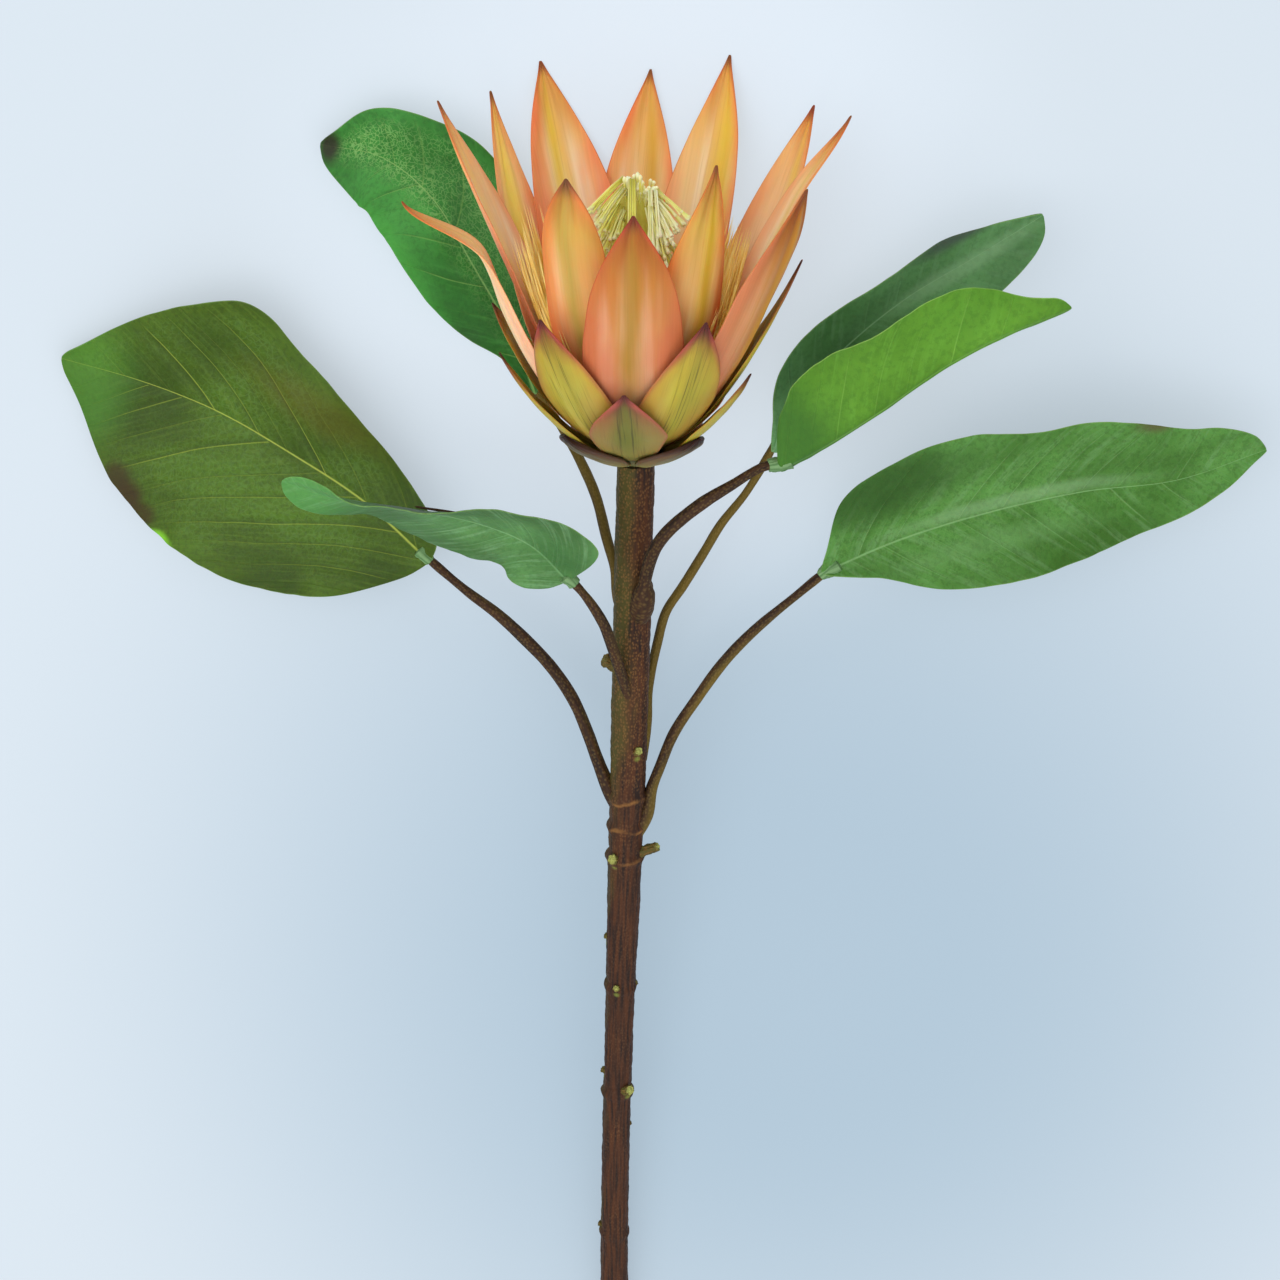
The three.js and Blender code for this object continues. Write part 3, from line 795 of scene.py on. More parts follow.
@dataclass(frozen=True)
class GrainedSkin(Finish):
    """Matt plastic skin with a bark grain: red brown, olive on one side, with pale pebbles."""

    brown: str = "#44240F"
    dark: str = "#20110A"
    olive: str = "#413C14"
    worn: str = "#84592A"
    green: str = "#747C30"

    def material(self) -> bpy.types.Material:
        """Returns the material, which reads a place round and along the limb."""
        made, tree = self.fresh()
        place, *_ = self.measures(tree, PLACE)
        _, olive_here, pebbled, mark = self.measures(tree, REACH)
        # Long patches about 4.5 by 25 mm, lines a millimetre apart, and pebbles of 0.9 by 1.2 mm.
        patch = noise(tree, place, (0.22, 0.22, 0.04), detail=3.0, roughness=0.55)
        lines = noise(tree, place, (0.9, 0.9, 0.06), detail=2.0)
        beads_at = add(tree, "VectorMath", (place, (1.15, 1.15, 0.8)), operation="MULTIPLY")
        beads = add(tree, "TexVoronoi", {"Vector": beads_at, "Scale": 1.0, "Randomness": 0.75})
        colour = add(tree, "ValToRGB", (lines,), stops=((0.34, self.dark), (0.6, self.brown)))
        mossy = maths(tree, "MULTIPLY_ADD", patch, 0.5, olive_here)
        mossy = ease(tree, mossy, 0.55, 0.95, 0.0, 0.9)
        colour = blend(tree, mossy, colour, self.olive)
        bead = ease(tree, beads, 0.6, 0.15, 0.0, 1.0)
        raised = maths(tree, "MULTIPLY", bead, pebbled)
        worn = maths(tree, "MULTIPLY", raised, 0.42)
        colour = blend(tree, worn, colour, self.worn)
        ringed = ease(tree, mark, -0.15, -0.8, 0.0, 0.8)
        colour = blend(tree, ringed, colour, self.worn)
        torn = ease(tree, mark, 0.3, 0.7, 0.0, 0.9)
        colour = blend(tree, torn, colour, self.green)
        fine = add(tree, "MapRange", (patch, 0.3, 0.7, 0.86, 1.14))
        colour = add(tree, "VectorMath", (colour, fine), operation="SCALE")
        relief = maths(tree, "MULTIPLY_ADD", lines, 0.9, raised)
        rough = add(tree, "MapRange", (beads, 0.1, 0.5, 0.5, 0.7))
        self.close(tree, colour, relief, rough, depth_mm=0.22, Specular_IOR_Level=0.2)
        return made


@dataclass(frozen=True)
class SoftThread(Finish):
    """Soft extruded plastic thread: pale yellow green, cream at its beaded end, slightly waxy."""

    foot: str = "#BCAE2A"
    middle: str = "#ECE464"
    bead: str = "#FFF8D0"

    def material(self) -> bpy.types.Material:
        """Returns the material, which reads a place on the thread and the thread's number."""
        made, tree = self.fresh()
        place, *_ = self.measures(tree, PLACE)
        _, _, pale, share = self.measures(tree, REACH)
        mottle = add(tree, "TexNoise", {"Vector": place, "Scale": 0.6, "Detail": 3.0, "Roughness": 0.7})
        shift = maths(tree, "MULTIPLY_ADD", mottle, 0.3, -0.15)
        run = add(tree, "Math", (share, shift), operation="ADD", use_clamp=True)
        colour = add(
            tree, "ValToRGB", (run,),
            stops=((0.0, self.foot), (1.0, self.bead), (0.5, self.middle), (0.85, self.middle)),
        )
        colour = blend(tree, pale, colour, self.bead)
        rough = add(tree, "MapRange", (mottle, 0.3, 0.7, 0.45, 0.6))
        self.close(tree, colour, mottle, rough, depth_mm=0.1, Subsurface_Weight=0.15, Subsurface_Scale=0.001)
        return made


@dataclass(frozen=True)
class TableTop(Finish):
    """Pale blue grey floor that glows by itself: painted light that keeps the shadows soft."""

    floor_tone: str = "#7E8489"
    # A darker blue grey: painted shade where the light falls off across the floor.
    painted_shade: str = "#66727B"
    # A paler blue grey: painted light that cancels the flower's shadow round the bloom.
    painted_light: str = "#868C92"
    # How strongly the floor glows by itself: painted light, not a lamp.
    glow: float = 2.0
    painted_shade_m: tuple[float, float, float] = (0.05, -0.08, 0.0)  # the middle of the duller part
    painted_light_m: tuple[float, float, float] = (0.0, 0.19, 0.0)  # the middle of the paler part

    def material(self) -> bpy.types.Material:
        """Returns the material: painted shade in a darker patch, and painted light in a paler patch round the
        bloom.
        """
        made, tree = self.fresh()
        spot = add(tree, "TexCoord", out="Object")
        away = add(tree, "VectorMath", (spot, self.painted_shade_m), out="Value", operation="DISTANCE")
        # Painted shade: the floor darkens towards the middle of the darker patch.
        shade_share = ease(tree, away, 0.05, 0.34, 0.0, 1.0)
        colour = blend(tree, shade_share, self.painted_shade, self.floor_tone)
        away = add(tree, "VectorMath", (spot, self.painted_light_m), out="Value", operation="DISTANCE")
        # Painted light: the floor pales round the bloom, where the flower's shadow falls.
        light_share = ease(tree, away, 0.16, 0.05, 0.0, 1.0)
        colour = blend(tree, light_share, colour, self.painted_light)
        grain = add(tree, "TexNoise", {"Vector": spot, "Scale": 30.0, "Detail": 2.0})
        # The floor's glow, in its own colour: painted light that lifts the shadows round the flower.
        self.close(
            tree, colour, grain, rough=0.7, depth_mm=0.02, Specular_IOR_Level=0.1, Emission_Color=colour,
            Emission_Strength=self.glow,
        )
        return made


# ----------------------------------------------------------------------------------------- bloom


@dataclass(frozen=True)
class Bract:
    """One petal or bract: how it stands in its layer, and its airbrushing."""

    turn: float  # degrees round the axis: 0 faces up, 90 is right
    width: float  # half its width, in millimetres
    tip: tuple[float, float]  # the tip's distance from the axis and its height
    sway: float = 0.0  # degrees that the tip swings round the axis
    hook: float = 0.0  # how strongly it leans in below its tip, or out if it is negative
    point: float | None = None  # how blunt its end is, where that isn't the layer's own
    twist: float = 0.0  # how much its end turns about its length
    look: dict[str, Any] = field(default_factory=dict)  # what its finish has of its own


@dataclass(frozen=True)
class Layer:
    """A ring of petals or bracts that follow one line up from their roots."""

    name: str
    slot: str
    profile: tuple[tuple[float, float], ...]  # the bend's four points: from the axis, and height
    widest: float  # the share of its length where a petal is widest
    root: float  # its width at the root, as a share of the widest
    point: float  # how blunt its end is
    cup: float  # how strongly its sides curl in
    sector: float  # half the angle that it may fill round the axis, in degrees
    thick: float
    faces: tuple[int, int]  # along and across
    each: tuple[Bract, ...]
    rib_mm: float = 0.16
    rim: float = 0.5  # the share of its thickness that is left at its margins

    def middle(self, u: np.ndarray) -> tuple[np.ndarray, np.ndarray]:
        """Returns the layer's own line at u: distance from the axis and height."""
        p = np.array(self.profile)
        w = np.stack([(1 - u) ** 3, 3 * u * (1 - u) ** 2, 3 * u * u * (1 - u), u**3], -1)
        return tuple((w @ p).T)

    def half_width(self, own: Bract, u: np.ndarray) -> np.ndarray:
        """Gives half the width of a petal.

        Args:
            own: The petal.
            u: From 0 at its root to 1 at its tip.

        Returns:
            Half its width at each u, in millimetres.
        """
        blunt = self.point if own.point is None else own.point
        swell = np.sin(math.pi / 2 * np.minimum(u / self.widest, 1))
        fall = np.cos(math.pi / 2 * (np.maximum(u - self.widest, 0) / (1 - self.widest)) ** blunt)
        radius, _ = self.middle(u)
        most = math.radians(self.sector) * radius
        return np.maximum(np.minimum(own.width * mix(self.root, 1, swell) * fall, most), 0.35)

    def surface(self, own: Bract, u: np.ndarray, v: np.ndarray) -> Points:
        """Gives the middle surface of a petal, wrapped round the plant's axis.

        Args:
            own: The petal.
            u: From 0 at its root to 1 at its tip.
            v: From -1 to 1 across it.

        Returns:
            Plant points in millimetres.
        """
        middle, height = self.middle(u)
        free = u**3
        number = own.turn
        half = self.half_width(own, u)
        # The cut margin wanders a little, and the sheet keeps soft ribs from its press.
        t = v * half * (1 + 0.018 * wander(u * 2.3 + (v > 0) * 0.37, number) * smooth(u, 0.1, 0.3))
        pressed = np.cos(v * 11 + number) + wander(v * 1.7, number + u * 0.3)
        rib = self.rib_mm * pressed * smooth(1 - np.abs(v), 0, 0.3)
        buckle = 0.35 * wander(u * 1.6 + v * 0.5, number * 0.7) * smooth(u, 0.3, 0.7) * smooth(1 - u, 0, 0.15)
        boat = self.cup * smooth(u, 0.25, 0.9) * t * t
        hook = own.hook * (smooth(u, 0.75, 1) ** 2 - free)
        lean, rise = own.tip[0] - self.profile[3][0], own.tip[1] - self.profile[3][1]
        radius = middle + lean * free + hook - boat + rib + buckle + own.twist * free * t
        angle = np.radians(own.turn + own.sway * free) + t / middle
        return np.stack([radius * np.sin(angle), -radius * np.cos(angle), height + rise * free], -1)

    def length(self, own: Bract) -> float:
        """Returns how long a petal is, in millimetres."""
        line = self.surface(own, np.linspace(0, 1, 60), np.zeros(60))
        return float(np.linalg.norm(np.diff(line, axis=0), axis=1).sum())

    def build(self, finish: type[PrintedPetal]) -> None:
        """Builds, dresses and hands in each petal of the ring.

        Args:
            finish: The kind of finish that they have.
        """
        for i, own in enumerate(self.each, 1):
            node = f"{self.name}_{i}"
            piece = Workshop.sheet(
                f"{node}_sheet", lambda u, v: self.surface(own, u, v), *self.faces, self.thick, self.rim
            )
            u, v = Workshop.corners(piece)
            half, length = self.half_width(own, u), self.length(own)
            number = own.turn * 0.37 + len(self.name) * 5
            Workshop.note(piece, PLACE, v * half, u * length, number)
            Workshop.note(piece, REACH, (1 - np.abs(v)) * half, (1 - u) * length, u)
            Workshop.note(piece, SIDE, number, half, v)
            Workshop.smooth_shade(piece)
            made = finish(name=f"{self.slot} foam sheet {i}", **own.look).material()
            Workshop.hand_in(piece, made, self.slot, node)


# Shades from the root to the tip that some petals and bracts have in place of their finish's own; some carry
# painted shade or painted light, as noted.
# The front petals' deeper print, darkened further as painted shade where they face the lamps.
FRONT_TONE_AND_SHADE = (
    (0.0, "#AE6040"), (0.2, "#B46A48"), (0.42, "#BA7A52"), (0.64, "#B87C40"), (0.8, "#AC6C24"),
    (0.92, "#94520E"), (1.0, "#78360A"),
)
# The front inner petals' own print: darker up the blade as painted shade where they face the lamps, and a
# bright orange root as painted glow where they lie in shade.
FRONT_SHADE_AND_ROOT_GLOW = (
    (0.0, "#FF8434"), (0.2, "#F88C42"), (0.42, "#E89C60"), (0.66, "#CE9E5A"), (0.84, "#BA943E"),
    (0.94, "#9E6C24"), (1.0, "#7E4412"),
)
# The side petals' paler print, lightened further as painted light where they turn away from the lamps.
SIDE_TONE_AND_LIGHT = (
    (0.0, "#E68E54"), (0.2, "#F2AC7C"), (0.42, "#F8C8A0"), (0.66, "#F4CA9A"), (0.86, "#EAB26E"),
    (0.96, "#D08A40"), (1.0, "#A4541C"),
)
WEATHERED = (
    (0.0, "#7E8038"), (0.3, "#7C7A38"), (0.55, "#80763A"), (0.78, "#7E5C32"), (0.92, "#5A3020"),
    (1.0, "#2E140E"),
)
CORKY = ((0.0, "#848A38"), (0.35, "#767238"), (0.62, "#5E5432"), (0.85, "#4A3C28"), (1.0, "#2D1D18"))

# The bracts seen edge on keep their yellow green up to the tip, with a thin brown margin.
EDGE_ON = {
    "coral_power": 0.12, "margin_mm": 0.7, "margin": "#7E5026", "cream": "#C4B254", "lines_power": 0.4,
}

# The short brown bracts' turn, half width, tip and sway.
BASE_BRACTS = (
    (44, 15, (26, 15.5), 10), (131, 12, (26.5, 16), 0),
    (-140, 12, (26.5, 16), 0), (-48, 15, (26.5, 16), -10),
)

LAYERS = (
    Layer(
        name="petal_inner", slot="petal",
        profile=((13.4, 20), (28, 34), (40, 68), (54, 122)),
        widest=0.46, root=0.42, point=1.5, cup=0.016, sector=26, thick=1.0, faces=(56, 20),
        each=(
            Bract(
                31, 14.5, (47, 113), sway=1, hook=1, point=1.4,
                # A darker cream and a stronger coral low down: partly this petal's own print, partly painted
                # shade on its lit face and painted glow at its shaded root.
                look={
                    "stripe_side": 0.2, "stripe_width": 0.34, "stripe": "#C09A20", "cream": "#DDBE80",
                    "cream_power": 0.8, "coral": "#DE7430", "coral_power": 0.9, "tip": "#6A3414",
                    "shades": FRONT_SHADE_AND_ROOT_GLOW,
                },
            ),
            Bract(
                92, 13, (69, 116), sway=4, hook=4,
                look={"stripe_power": 0.5, "coral": "#E88450", "coral_power": 0.5, "shades": SIDE_TONE_AND_LIGHT},
            ),
            Bract(
                149, 14.5, (62.7, 124.4), sway=0.6, hook=-2, point=1.4,
                look={"stripe_side": -0.42, "stripe_width": 0.56, "stripe": "#DCB830"},
            ),
            Bract(
                -152, 17, (62, 122.5), sway=2, hook=-2,
                look={
                    "stripe_side": 0.12, "stripe_width": 0.3, "stripe": "#DCBA30", "cream_power": 0.8,
                    "coral_power": 0.8,
                },
            ),
            Bract(
                -96, 14.5, (62, 121),
                look={
                    "stripe_power": 0.3, "stripe": "#F4D068", "cream_power": 0.9, "coral_power": 0.5,
                    "tip_mm": 5.0, "lines_power": 0.15, "shades": SIDE_TONE_AND_LIGHT,
                },
            ),
            Bract(
                -31, 14.5, (42, 108), point=3.2, hook=-3, sway=2,
                # A darker cream and a stronger coral low down: partly this petal's own print, partly painted
                # shade on its lit face and painted glow at its shaded root.
                look={
                    "stripe_side": 0.05, "stripe_width": 0.24, "stripe": "#AA8E3C", "cream": "#D8B680",
                    "cream_power": 0.95, "coral": "#E46E38", "coral_power": 0.75, "tip": "#52301E",
                    "tip_mm": 6.0, "shades": FRONT_SHADE_AND_ROOT_GLOW,
                },
            ),
        ),
    ),
    Layer(
        name="petal_outer", slot="petal",
        profile=((13.8, 14), (34, 28), (46, 62), (57, 116)),
        widest=0.44, root=0.42, point=1.5, cup=0.009, sector=26, thick=1.0, faces=(56, 20),
        each=(
            Bract(
                0, 17, (52, 101), point=1.8, hook=-3,
                # A darker cream: partly this petal's own print, partly painted shade on its lit face.
                look={
                    "stripe_side": -0.05, "stripe_width": 0.3, "stripe": "#96701C", "cream": "#D0A07C",
                    "cream_power": 0.6, "coral": "#B65636", "tip": "#4E2012", "margin": "#A8401E",
                    "margin_mm": 0.8, "tip_mm": 6.0, "shades": FRONT_TONE_AND_SHADE,
                },
            ),
            Bract(
                60, 17, (61, 103), point=2, hook=-2,
                # A darker cream: partly this petal's own print, partly painted shade on its lit face.
                look={
                    "stripe_side": 0.2, "stripe_width": 0.26, "stripe": "#BC8424", "cream": "#D29C74",
                    "coral": "#BC6C4C", "tip_mm": 7.0, "shades": FRONT_TONE_AND_SHADE, "cream_power": 0.5,
                },
            ),
            Bract(
                118, 15.5, (66.3, 113.4),
                look={
                    "stripe_side": -0.35, "stripe_power": 0.6, "tip": "#6A2412", "tip_mm": 5.0,
                    "coral": "#E07844", "coral_power": 0.5, "shades": SIDE_TONE_AND_LIGHT,
                },
            ),
            Bract(
                181, 15.5, (53, 120), sway=-7, hook=-2, point=1.7,
                look={"stripe_side": -0.38, "stripe_width": 0.36, "stripe": "#D0A028", "coral_power": 0.7},
            ),
            Bract(
                -126, 13.5, (56, 118), sway=2, point=1.2,
                # A brighter stripe, cream and coral: partly this petal's own print, partly painted light
                # where it turns away from the lamps.
                look={
                    "stripe_side": 0.1, "stripe_width": 0.66, "stripe": "#F8D858", "cream": "#FFF0C8",
                    "coral": "#F28A50", "coral_power": 0.45, "lines_power": 0.1, "shades": SIDE_TONE_AND_LIGHT,
                },
            ),
            Bract(
                -72, 13, (75, 97), hook=20, twist=0.35,
                look={
                    "stripe_power": 0.2, "cream_power": 0.9, "coral_power": 0.35, "tip": "#7E3E16",
                    "tip_mm": 3.0, "shades": SIDE_TONE_AND_LIGHT,
                },
            ),
        ),
    ),
    Layer(
        name="bract_high", slot="green_bract",
        profile=((12.8, 10.4), (28.6, 20.0), (39, 39.7), (49, 66)),
        widest=0.42, root=0.5, point=1.2, cup=0.005, sector=26, thick=0.95, faces=(36, 16),
        each=(
            Bract(-35, 15, (50, 65), look={"stripe_side": 0.15, "cream_power": 0.9}),
            Bract(27, 15, (49, 65), look={"stripe_side": 0.1, "tip_mm": 9.0}),
            Bract(84, 12, (54, 73), look={"tip_mm": 8.0, **EDGE_ON}),
            Bract(140, 13, (49, 62)),
            Bract(-162, 13, (49, 62)),
            Bract(-100, 12, (47, 54), look=EDGE_ON),
        ),
    ),
    Layer(
        name="bract_low", slot="green_bract",
        profile=((10.3, 6.2), (23.7, 12.2), (33, 23.4), (42, 40)),
        widest=0.4, root=0.6, point=1.2, cup=0.002, sector=26, thick=0.95, faces=(32, 16),
        each=(
            Bract(
                -4, 14, (43, 41),
                look={
                    "margin": "#A04C40", "margin_mm": 2.2, "coral_power": 0.2, "cream": "#8E8A48",
                    "stripe": "#5E6420", "stripe_width": 0.5, "stripe_power": 0.8, "lines": "#39341A",
                    "shades": WEATHERED,
                },
            ),
            Bract(68, 13, (40.5, 38), look=EDGE_ON),
            Bract(124, 13, (42, 38)),
            Bract(179, 13, (42, 38)),
            Bract(-126, 13, (42, 38)),
            Bract(-70, 12, (44, 42), sway=-12, look=EDGE_ON),
        ),
    ),
    Layer(
        name="bract_base", slot="base_bract",
        profile=((8.4, 4.0), (16.5, 6.6), (23.5, 11), (26.5, 16)),
        widest=0.5, root=0.7, point=1.4, cup=0, sector=42, thick=2.4, faces=(24, 20),
        each=tuple(
            Bract(
                turn, width, tip, sway=sway,
                look={
                    "shades": CORKY, "margin": "#40281E", "margin_mm": 2.0, "lines_power": 0.4,
                    "stripe_power": 0.0, "cream": "#8E8844", "coral_power": 0.12,
                },
            )
            for turn, width, tip, sway in BASE_BRACTS
        ),
    ),
)


@dataclass(frozen=True)
class Bundle:
    """A clump of threads that runs along one bend."""

    start: tuple[float, float, float]
    bend: tuple[float, float, float]
    end: tuple[float, float, float]
    count: int  # how many threads it has
    root_spread: float  # how far the threads stand apart at the start, in millimetres
    end_spread: float  # and at the end
    radius: float
    pale: float = 0.0  # how pale it is, from 0 to 1


class ThreadKind(Enum):
    """What a thread ends in, as its radius at even steps, 1 being the thread's own."""

    BEADED = (0.0, 1.0, 0.9, 1.0, 0.9, 1.0, 2.2, 2.9, 2.2, 0.0)
    POINTED = (0.0, 1.0, 1.1, 1.1, 1.0, 0.9, 0.75, 0.5, 0.0)


@dataclass(frozen=True)
class Threads:
    """A mass of threads, modelled once and copied along many bends."""

    name: str
    kind: ThreadKind
    sides: int
    seed: int
    bundles: tuple[Bundle, ...]

    def template(self) -> tuple[Points, list[tuple[int, ...]]]:
        """Models one straight thread of unit length.

        Returns:
            Its vertices, with the radius in X and Y and the share of its length in Z, and its
            faces.
        """
        profile = np.array(self.kind.value)
        rings = len(profile)
        places = np.linspace(0, 1, rings)
        if self.kind is ThreadKind.BEADED:
            run = np.linspace(0, 0.9, rings - 3)[2:]
            places = np.concatenate([[0.0, 0.01], run, [0.93, 0.96, 0.99]])
        piece = Workshop.grid(f"{self.name}_template", rings - 1, self.sides)
        flat = Workshop.coordinates(piece)
        ring = np.rint((flat[:, 1] + 1) / 2 * (rings - 1)).astype(int)
        turn = math.tau * (flat[:, 0] + 1) / 2
        radius = profile[ring]
        Workshop.move(piece, np.stack([radius * np.cos(turn), radius * np.sin(turn), places[ring]], -1))
        Workshop.weld(piece)
        vertices, faces = Workshop.coordinates(piece), [tuple(p.vertices) for p in piece.data.polygons]
        bpy.data.meshes.remove(piece.data)
        return vertices, faces

    def build(self, finish: bpy.types.Material, *nodes: str) -> None:
        """Builds, dresses and hands in the whole mass as one mesh.

        Args:
            finish: The threads' material.
            nodes: The solids that it replaces.
        """
        random = np.random.default_rng(self.seed)
        shape, faces = self.template()
        share = shape[:, 2]
        points, measures, corners = [], [], []
        for bundle in self.bundles:
            # Each clump is a flat ribbon that shows its broad side to the light.
            run = np.subtract(bundle.end, bundle.start)
            side = unit(np.cross(run, (0.02, 1.0, 0.35)))
            for _ in range(bundle.count):
                beside = side * random.uniform(-1.6, 1.6) + random.normal(0, 0.22, 3)
                start = np.array(bundle.start) + beside * bundle.root_spread
                end = np.array(bundle.end) + beside * bundle.end_spread + run * random.uniform(-0.3, 0.06)
                bend = np.array(bundle.bend) + beside * (bundle.root_spread + bundle.end_spread) * 0.5
                t = share[:, None]
                path = start * (1 - t) ** 2 + 2 * bend * t * (1 - t) + end * t**2
                along = unit(2 * (bend - start) * (1 - t) + 2 * (end - bend) * t)
                first = unit(np.cross(along, np.array([0.31, 0.52, 0.8])))
                second = np.cross(along, first)
                radius = bundle.radius * random.uniform(0.8, 1.2)
                base = len(points) * len(shape)
                corners += [tuple(base + i for i in face) for face in faces]
                points.append(path + (first * shape[:, :1] + second * shape[:, 1:2]) * radius)
                pale = float(np.clip(bundle.pale + random.normal(0, 0.15), 0, 1))
                length = float(np.linalg.norm(end - start))
                number = random.uniform(0, 90)
                same = np.ones(len(shape))
                columns = (shape[:, 0], share * length, same * number, same * pale, share)
                measures.append(np.stack(columns, -1))
        mesh = bpy.data.meshes.new(self.name)
        mesh.from_pydata(LAID.place(np.vstack(points)).tolist(), [], corners)
        piece = bpy.data.objects.new(self.name, mesh)
        bpy.context.scene.collection.objects.link(piece)
        told = np.vstack(measures)
        index = np.empty(len(mesh.loops), int)
        mesh.loops.foreach_get("vertex_index", index)
        at = told[index].T
        Workshop.note(piece, PLACE, at[0], at[1], at[2])
        Workshop.note(piece, REACH, 0.0, at[3], at[4])
        Workshop.smooth_shade(piece, 80)
        Workshop.hand_in(piece, finish, "floret", *nodes)


def round_the_axis(turn_deg: float, radius: float, height: float) -> tuple[float, float, float]:
    """Returns a plant point from its turn (0 faces up, 90 is right), radius and height."""
    turn = math.radians(turn_deg)
    return (radius * math.sin(turn), -radius * math.cos(turn), height)


@dataclass(frozen=True)
class Heart:
    """What stands inside the petals: the receptacle, the tuft of florets and the yellow chaff."""

    outline: tuple[tuple[float, float], ...] = (
        (0, 2.3), (6.4, 2.3), (9, 5.5), (11.2, 9), (12.9, 13), (12.6, 20), (10.5, 25), (8, 27.5), (0, 28),
    )
    core: tuple[tuple[float, float], ...] = (
        (0, 28.3), (7.6, 28.3), (8.6, 50), (9.6, 66), (8.4, 78), (5.6, 88), (3.0, 94), (0, 95.5),
    )
    # The ribbons of threads that fall over the side that faces up: where each leaves the crown,
    # where its beads end, how pale it is and how many threads it has.
    ribbons: tuple[tuple[tuple[float, float, float], tuple[float, float, float], float, int], ...] = (
        ((-0.8, -4.5, 99), (-1, -16.5, 78), 0.15, 15),
        ((-2.5, -3, 98.5), (-14, -8, 87.5), 0.0, 13),
        ((-3, -4.5, 96), (-12, -10.5, 84), 0.1, 13),
        ((-4, -6, 91), (-10.5, -13, 80), 0.0, 12),
        ((-3, -8.5, 90), (-7, -14, 80), 0.15, 11),
        ((-4, -9, 86), (-9.6, -15, 74), 0.05, 13),
        ((5.5, -5, 95.5), (6, -16, 78), 0.5, 15),
        ((4.5, -8.5, 91), (9, -16.5, 72), 0.35, 14),
        ((7, -4.5, 94), (17, -8, 85.5), 0.3, 13),
        ((7, -6, 92), (14.6, -11, 81.5), 0.5, 14),
        ((6.5, -7.5, 90), (12.2, -13.5, 78), 0.55, 14),
        ((7, -3, 95), (11.5, -3, 88.5), 0.1, 9),
    )
    # The crown's upright clumps: place, height and number of threads.
    crown: tuple[tuple[float, float, float, int], ...] = (
        (-1.6, -3.8, 100.3, 12), (1.2, -4.2, 100, 10), (4.0, -3.2, 97, 12), (6.6, -3.0, 95.5, 12),
        (8.0, -1.0, 93, 8), (-3.0, 0.0, 98, 10), (1.0, 2.0, 99, 12), (4.4, 4.0, 96, 12),
        (-2.0, 5.0, 95, 10),
    )
    # The tiers of falling clumps all round: how many, height at the axis, height and radius at
    # their ends.
    tiers: tuple[tuple[int, float, float, float], ...] = (
        (9, 93, 82, 12), (11, 88, 73, 14), (11, 80, 62, 15), (9, 68, 48, 14),
    )
    thread_mm: float = 0.26
    thinned: float = 0.75  # the share of each ribbon's threads that are drawn
    chaff_clumps: int = 36

    def lathe(
        self, name: str, outline: tuple[tuple[float, float], ...], material: bpy.types.Material,
        slot: str, *nodes: str,
    ) -> None:
        """Turns an outline about the plant's axis.

        Args:
            name: The piece's name.
            outline: Distances from the axis and heights, closed on the axis at both ends.
            material: Its finish.
            slot: Its material slot.
            nodes: The solids that it replaces.
        """
        path = Line([(r, 0, z) for r, z in outline]).even(60)
        path[[0, -1], 0] = 0
        centres = path * [0, 0, 1]
        ones = np.ones((len(path), 1))
        sides, flutes = 40, 13
        turn = np.arange(sides) / sides
        flute = 1 + 0.05 * np.cos(math.tau * turn * flutes)[None, :]
        radii = np.abs(path[:, :1]) * flute
        piece = Workshop.tube(name, centres, ones * [1.0, 0, 0], ones * [0, 1.0, 0], radii)
        along, across = Workshop.corners(piece)
        around = across * math.pi
        radius = np.interp(along, np.linspace(0, 1, len(path)), path[:, 0])
        Workshop.note(piece, PLACE, radius * np.cos(around), along * 60, radius * np.sin(around))
        Workshop.note(piece, REACH, 0.0, 0.0, 0.2)
        Workshop.smooth_shade(piece, 60)
        Workshop.hand_in(piece, material, slot, *nodes)

    def clumps(self) -> tuple[Bundle, ...]:
        """Returns the tuft's clumps: the crown, the ribbons that show and the tiers all round."""
        random = np.random.default_rng(11)
        made = [
            Bundle(
                (x * 0.5, y * 0.6, 78), (x * 0.8, y * 0.9, 90), (x, y, top), count,
                root_spread=0.7, end_spread=1.15, radius=self.thread_mm, pale=0.2,
            )
            for x, y, top, count in self.crown
        ]
        for top, end, pale, count in self.ribbons:
            bend = mix(np.array(top), np.array(end), 0.42) + (0.0, -0.6, 1.3)
            ribbon = Bundle(
                top, tuple(bend), end, int(count * self.thinned),
                root_spread=0.85, end_spread=1.25, radius=self.thread_mm, pale=pale,
            )
            made.append(ribbon)
        for count, high, low, radius in self.tiers:
            offset = random.uniform(0, 360)
            for k in range(count):
                turn = offset + 360 * (k + random.uniform(-0.25, 0.25)) / count
                drop = random.uniform(-2.5, 2.5)
                # The ribbons stand in for the top tiers on the side that faces up.
                if math.cos(math.radians(turn)) > 0.25 and high > 85:
                    continue
                start = round_the_axis(turn, 2.2, high)
                bend = round_the_axis(turn, radius * 0.5, high - (high - low) * 0.2 + drop * 0.5)
                end_turn = turn + random.uniform(-6, 6)
                end = round_the_axis(end_turn, radius + random.uniform(-1.2, 0.8), low + drop)
                pale = random.uniform(0, 0.3)
                clump = Bundle(
                    start, bend, end, count=16, root_spread=0.8, end_spread=1.3, radius=0.27, pale=pale
                )
                made.append(clump)
        return tuple(made)

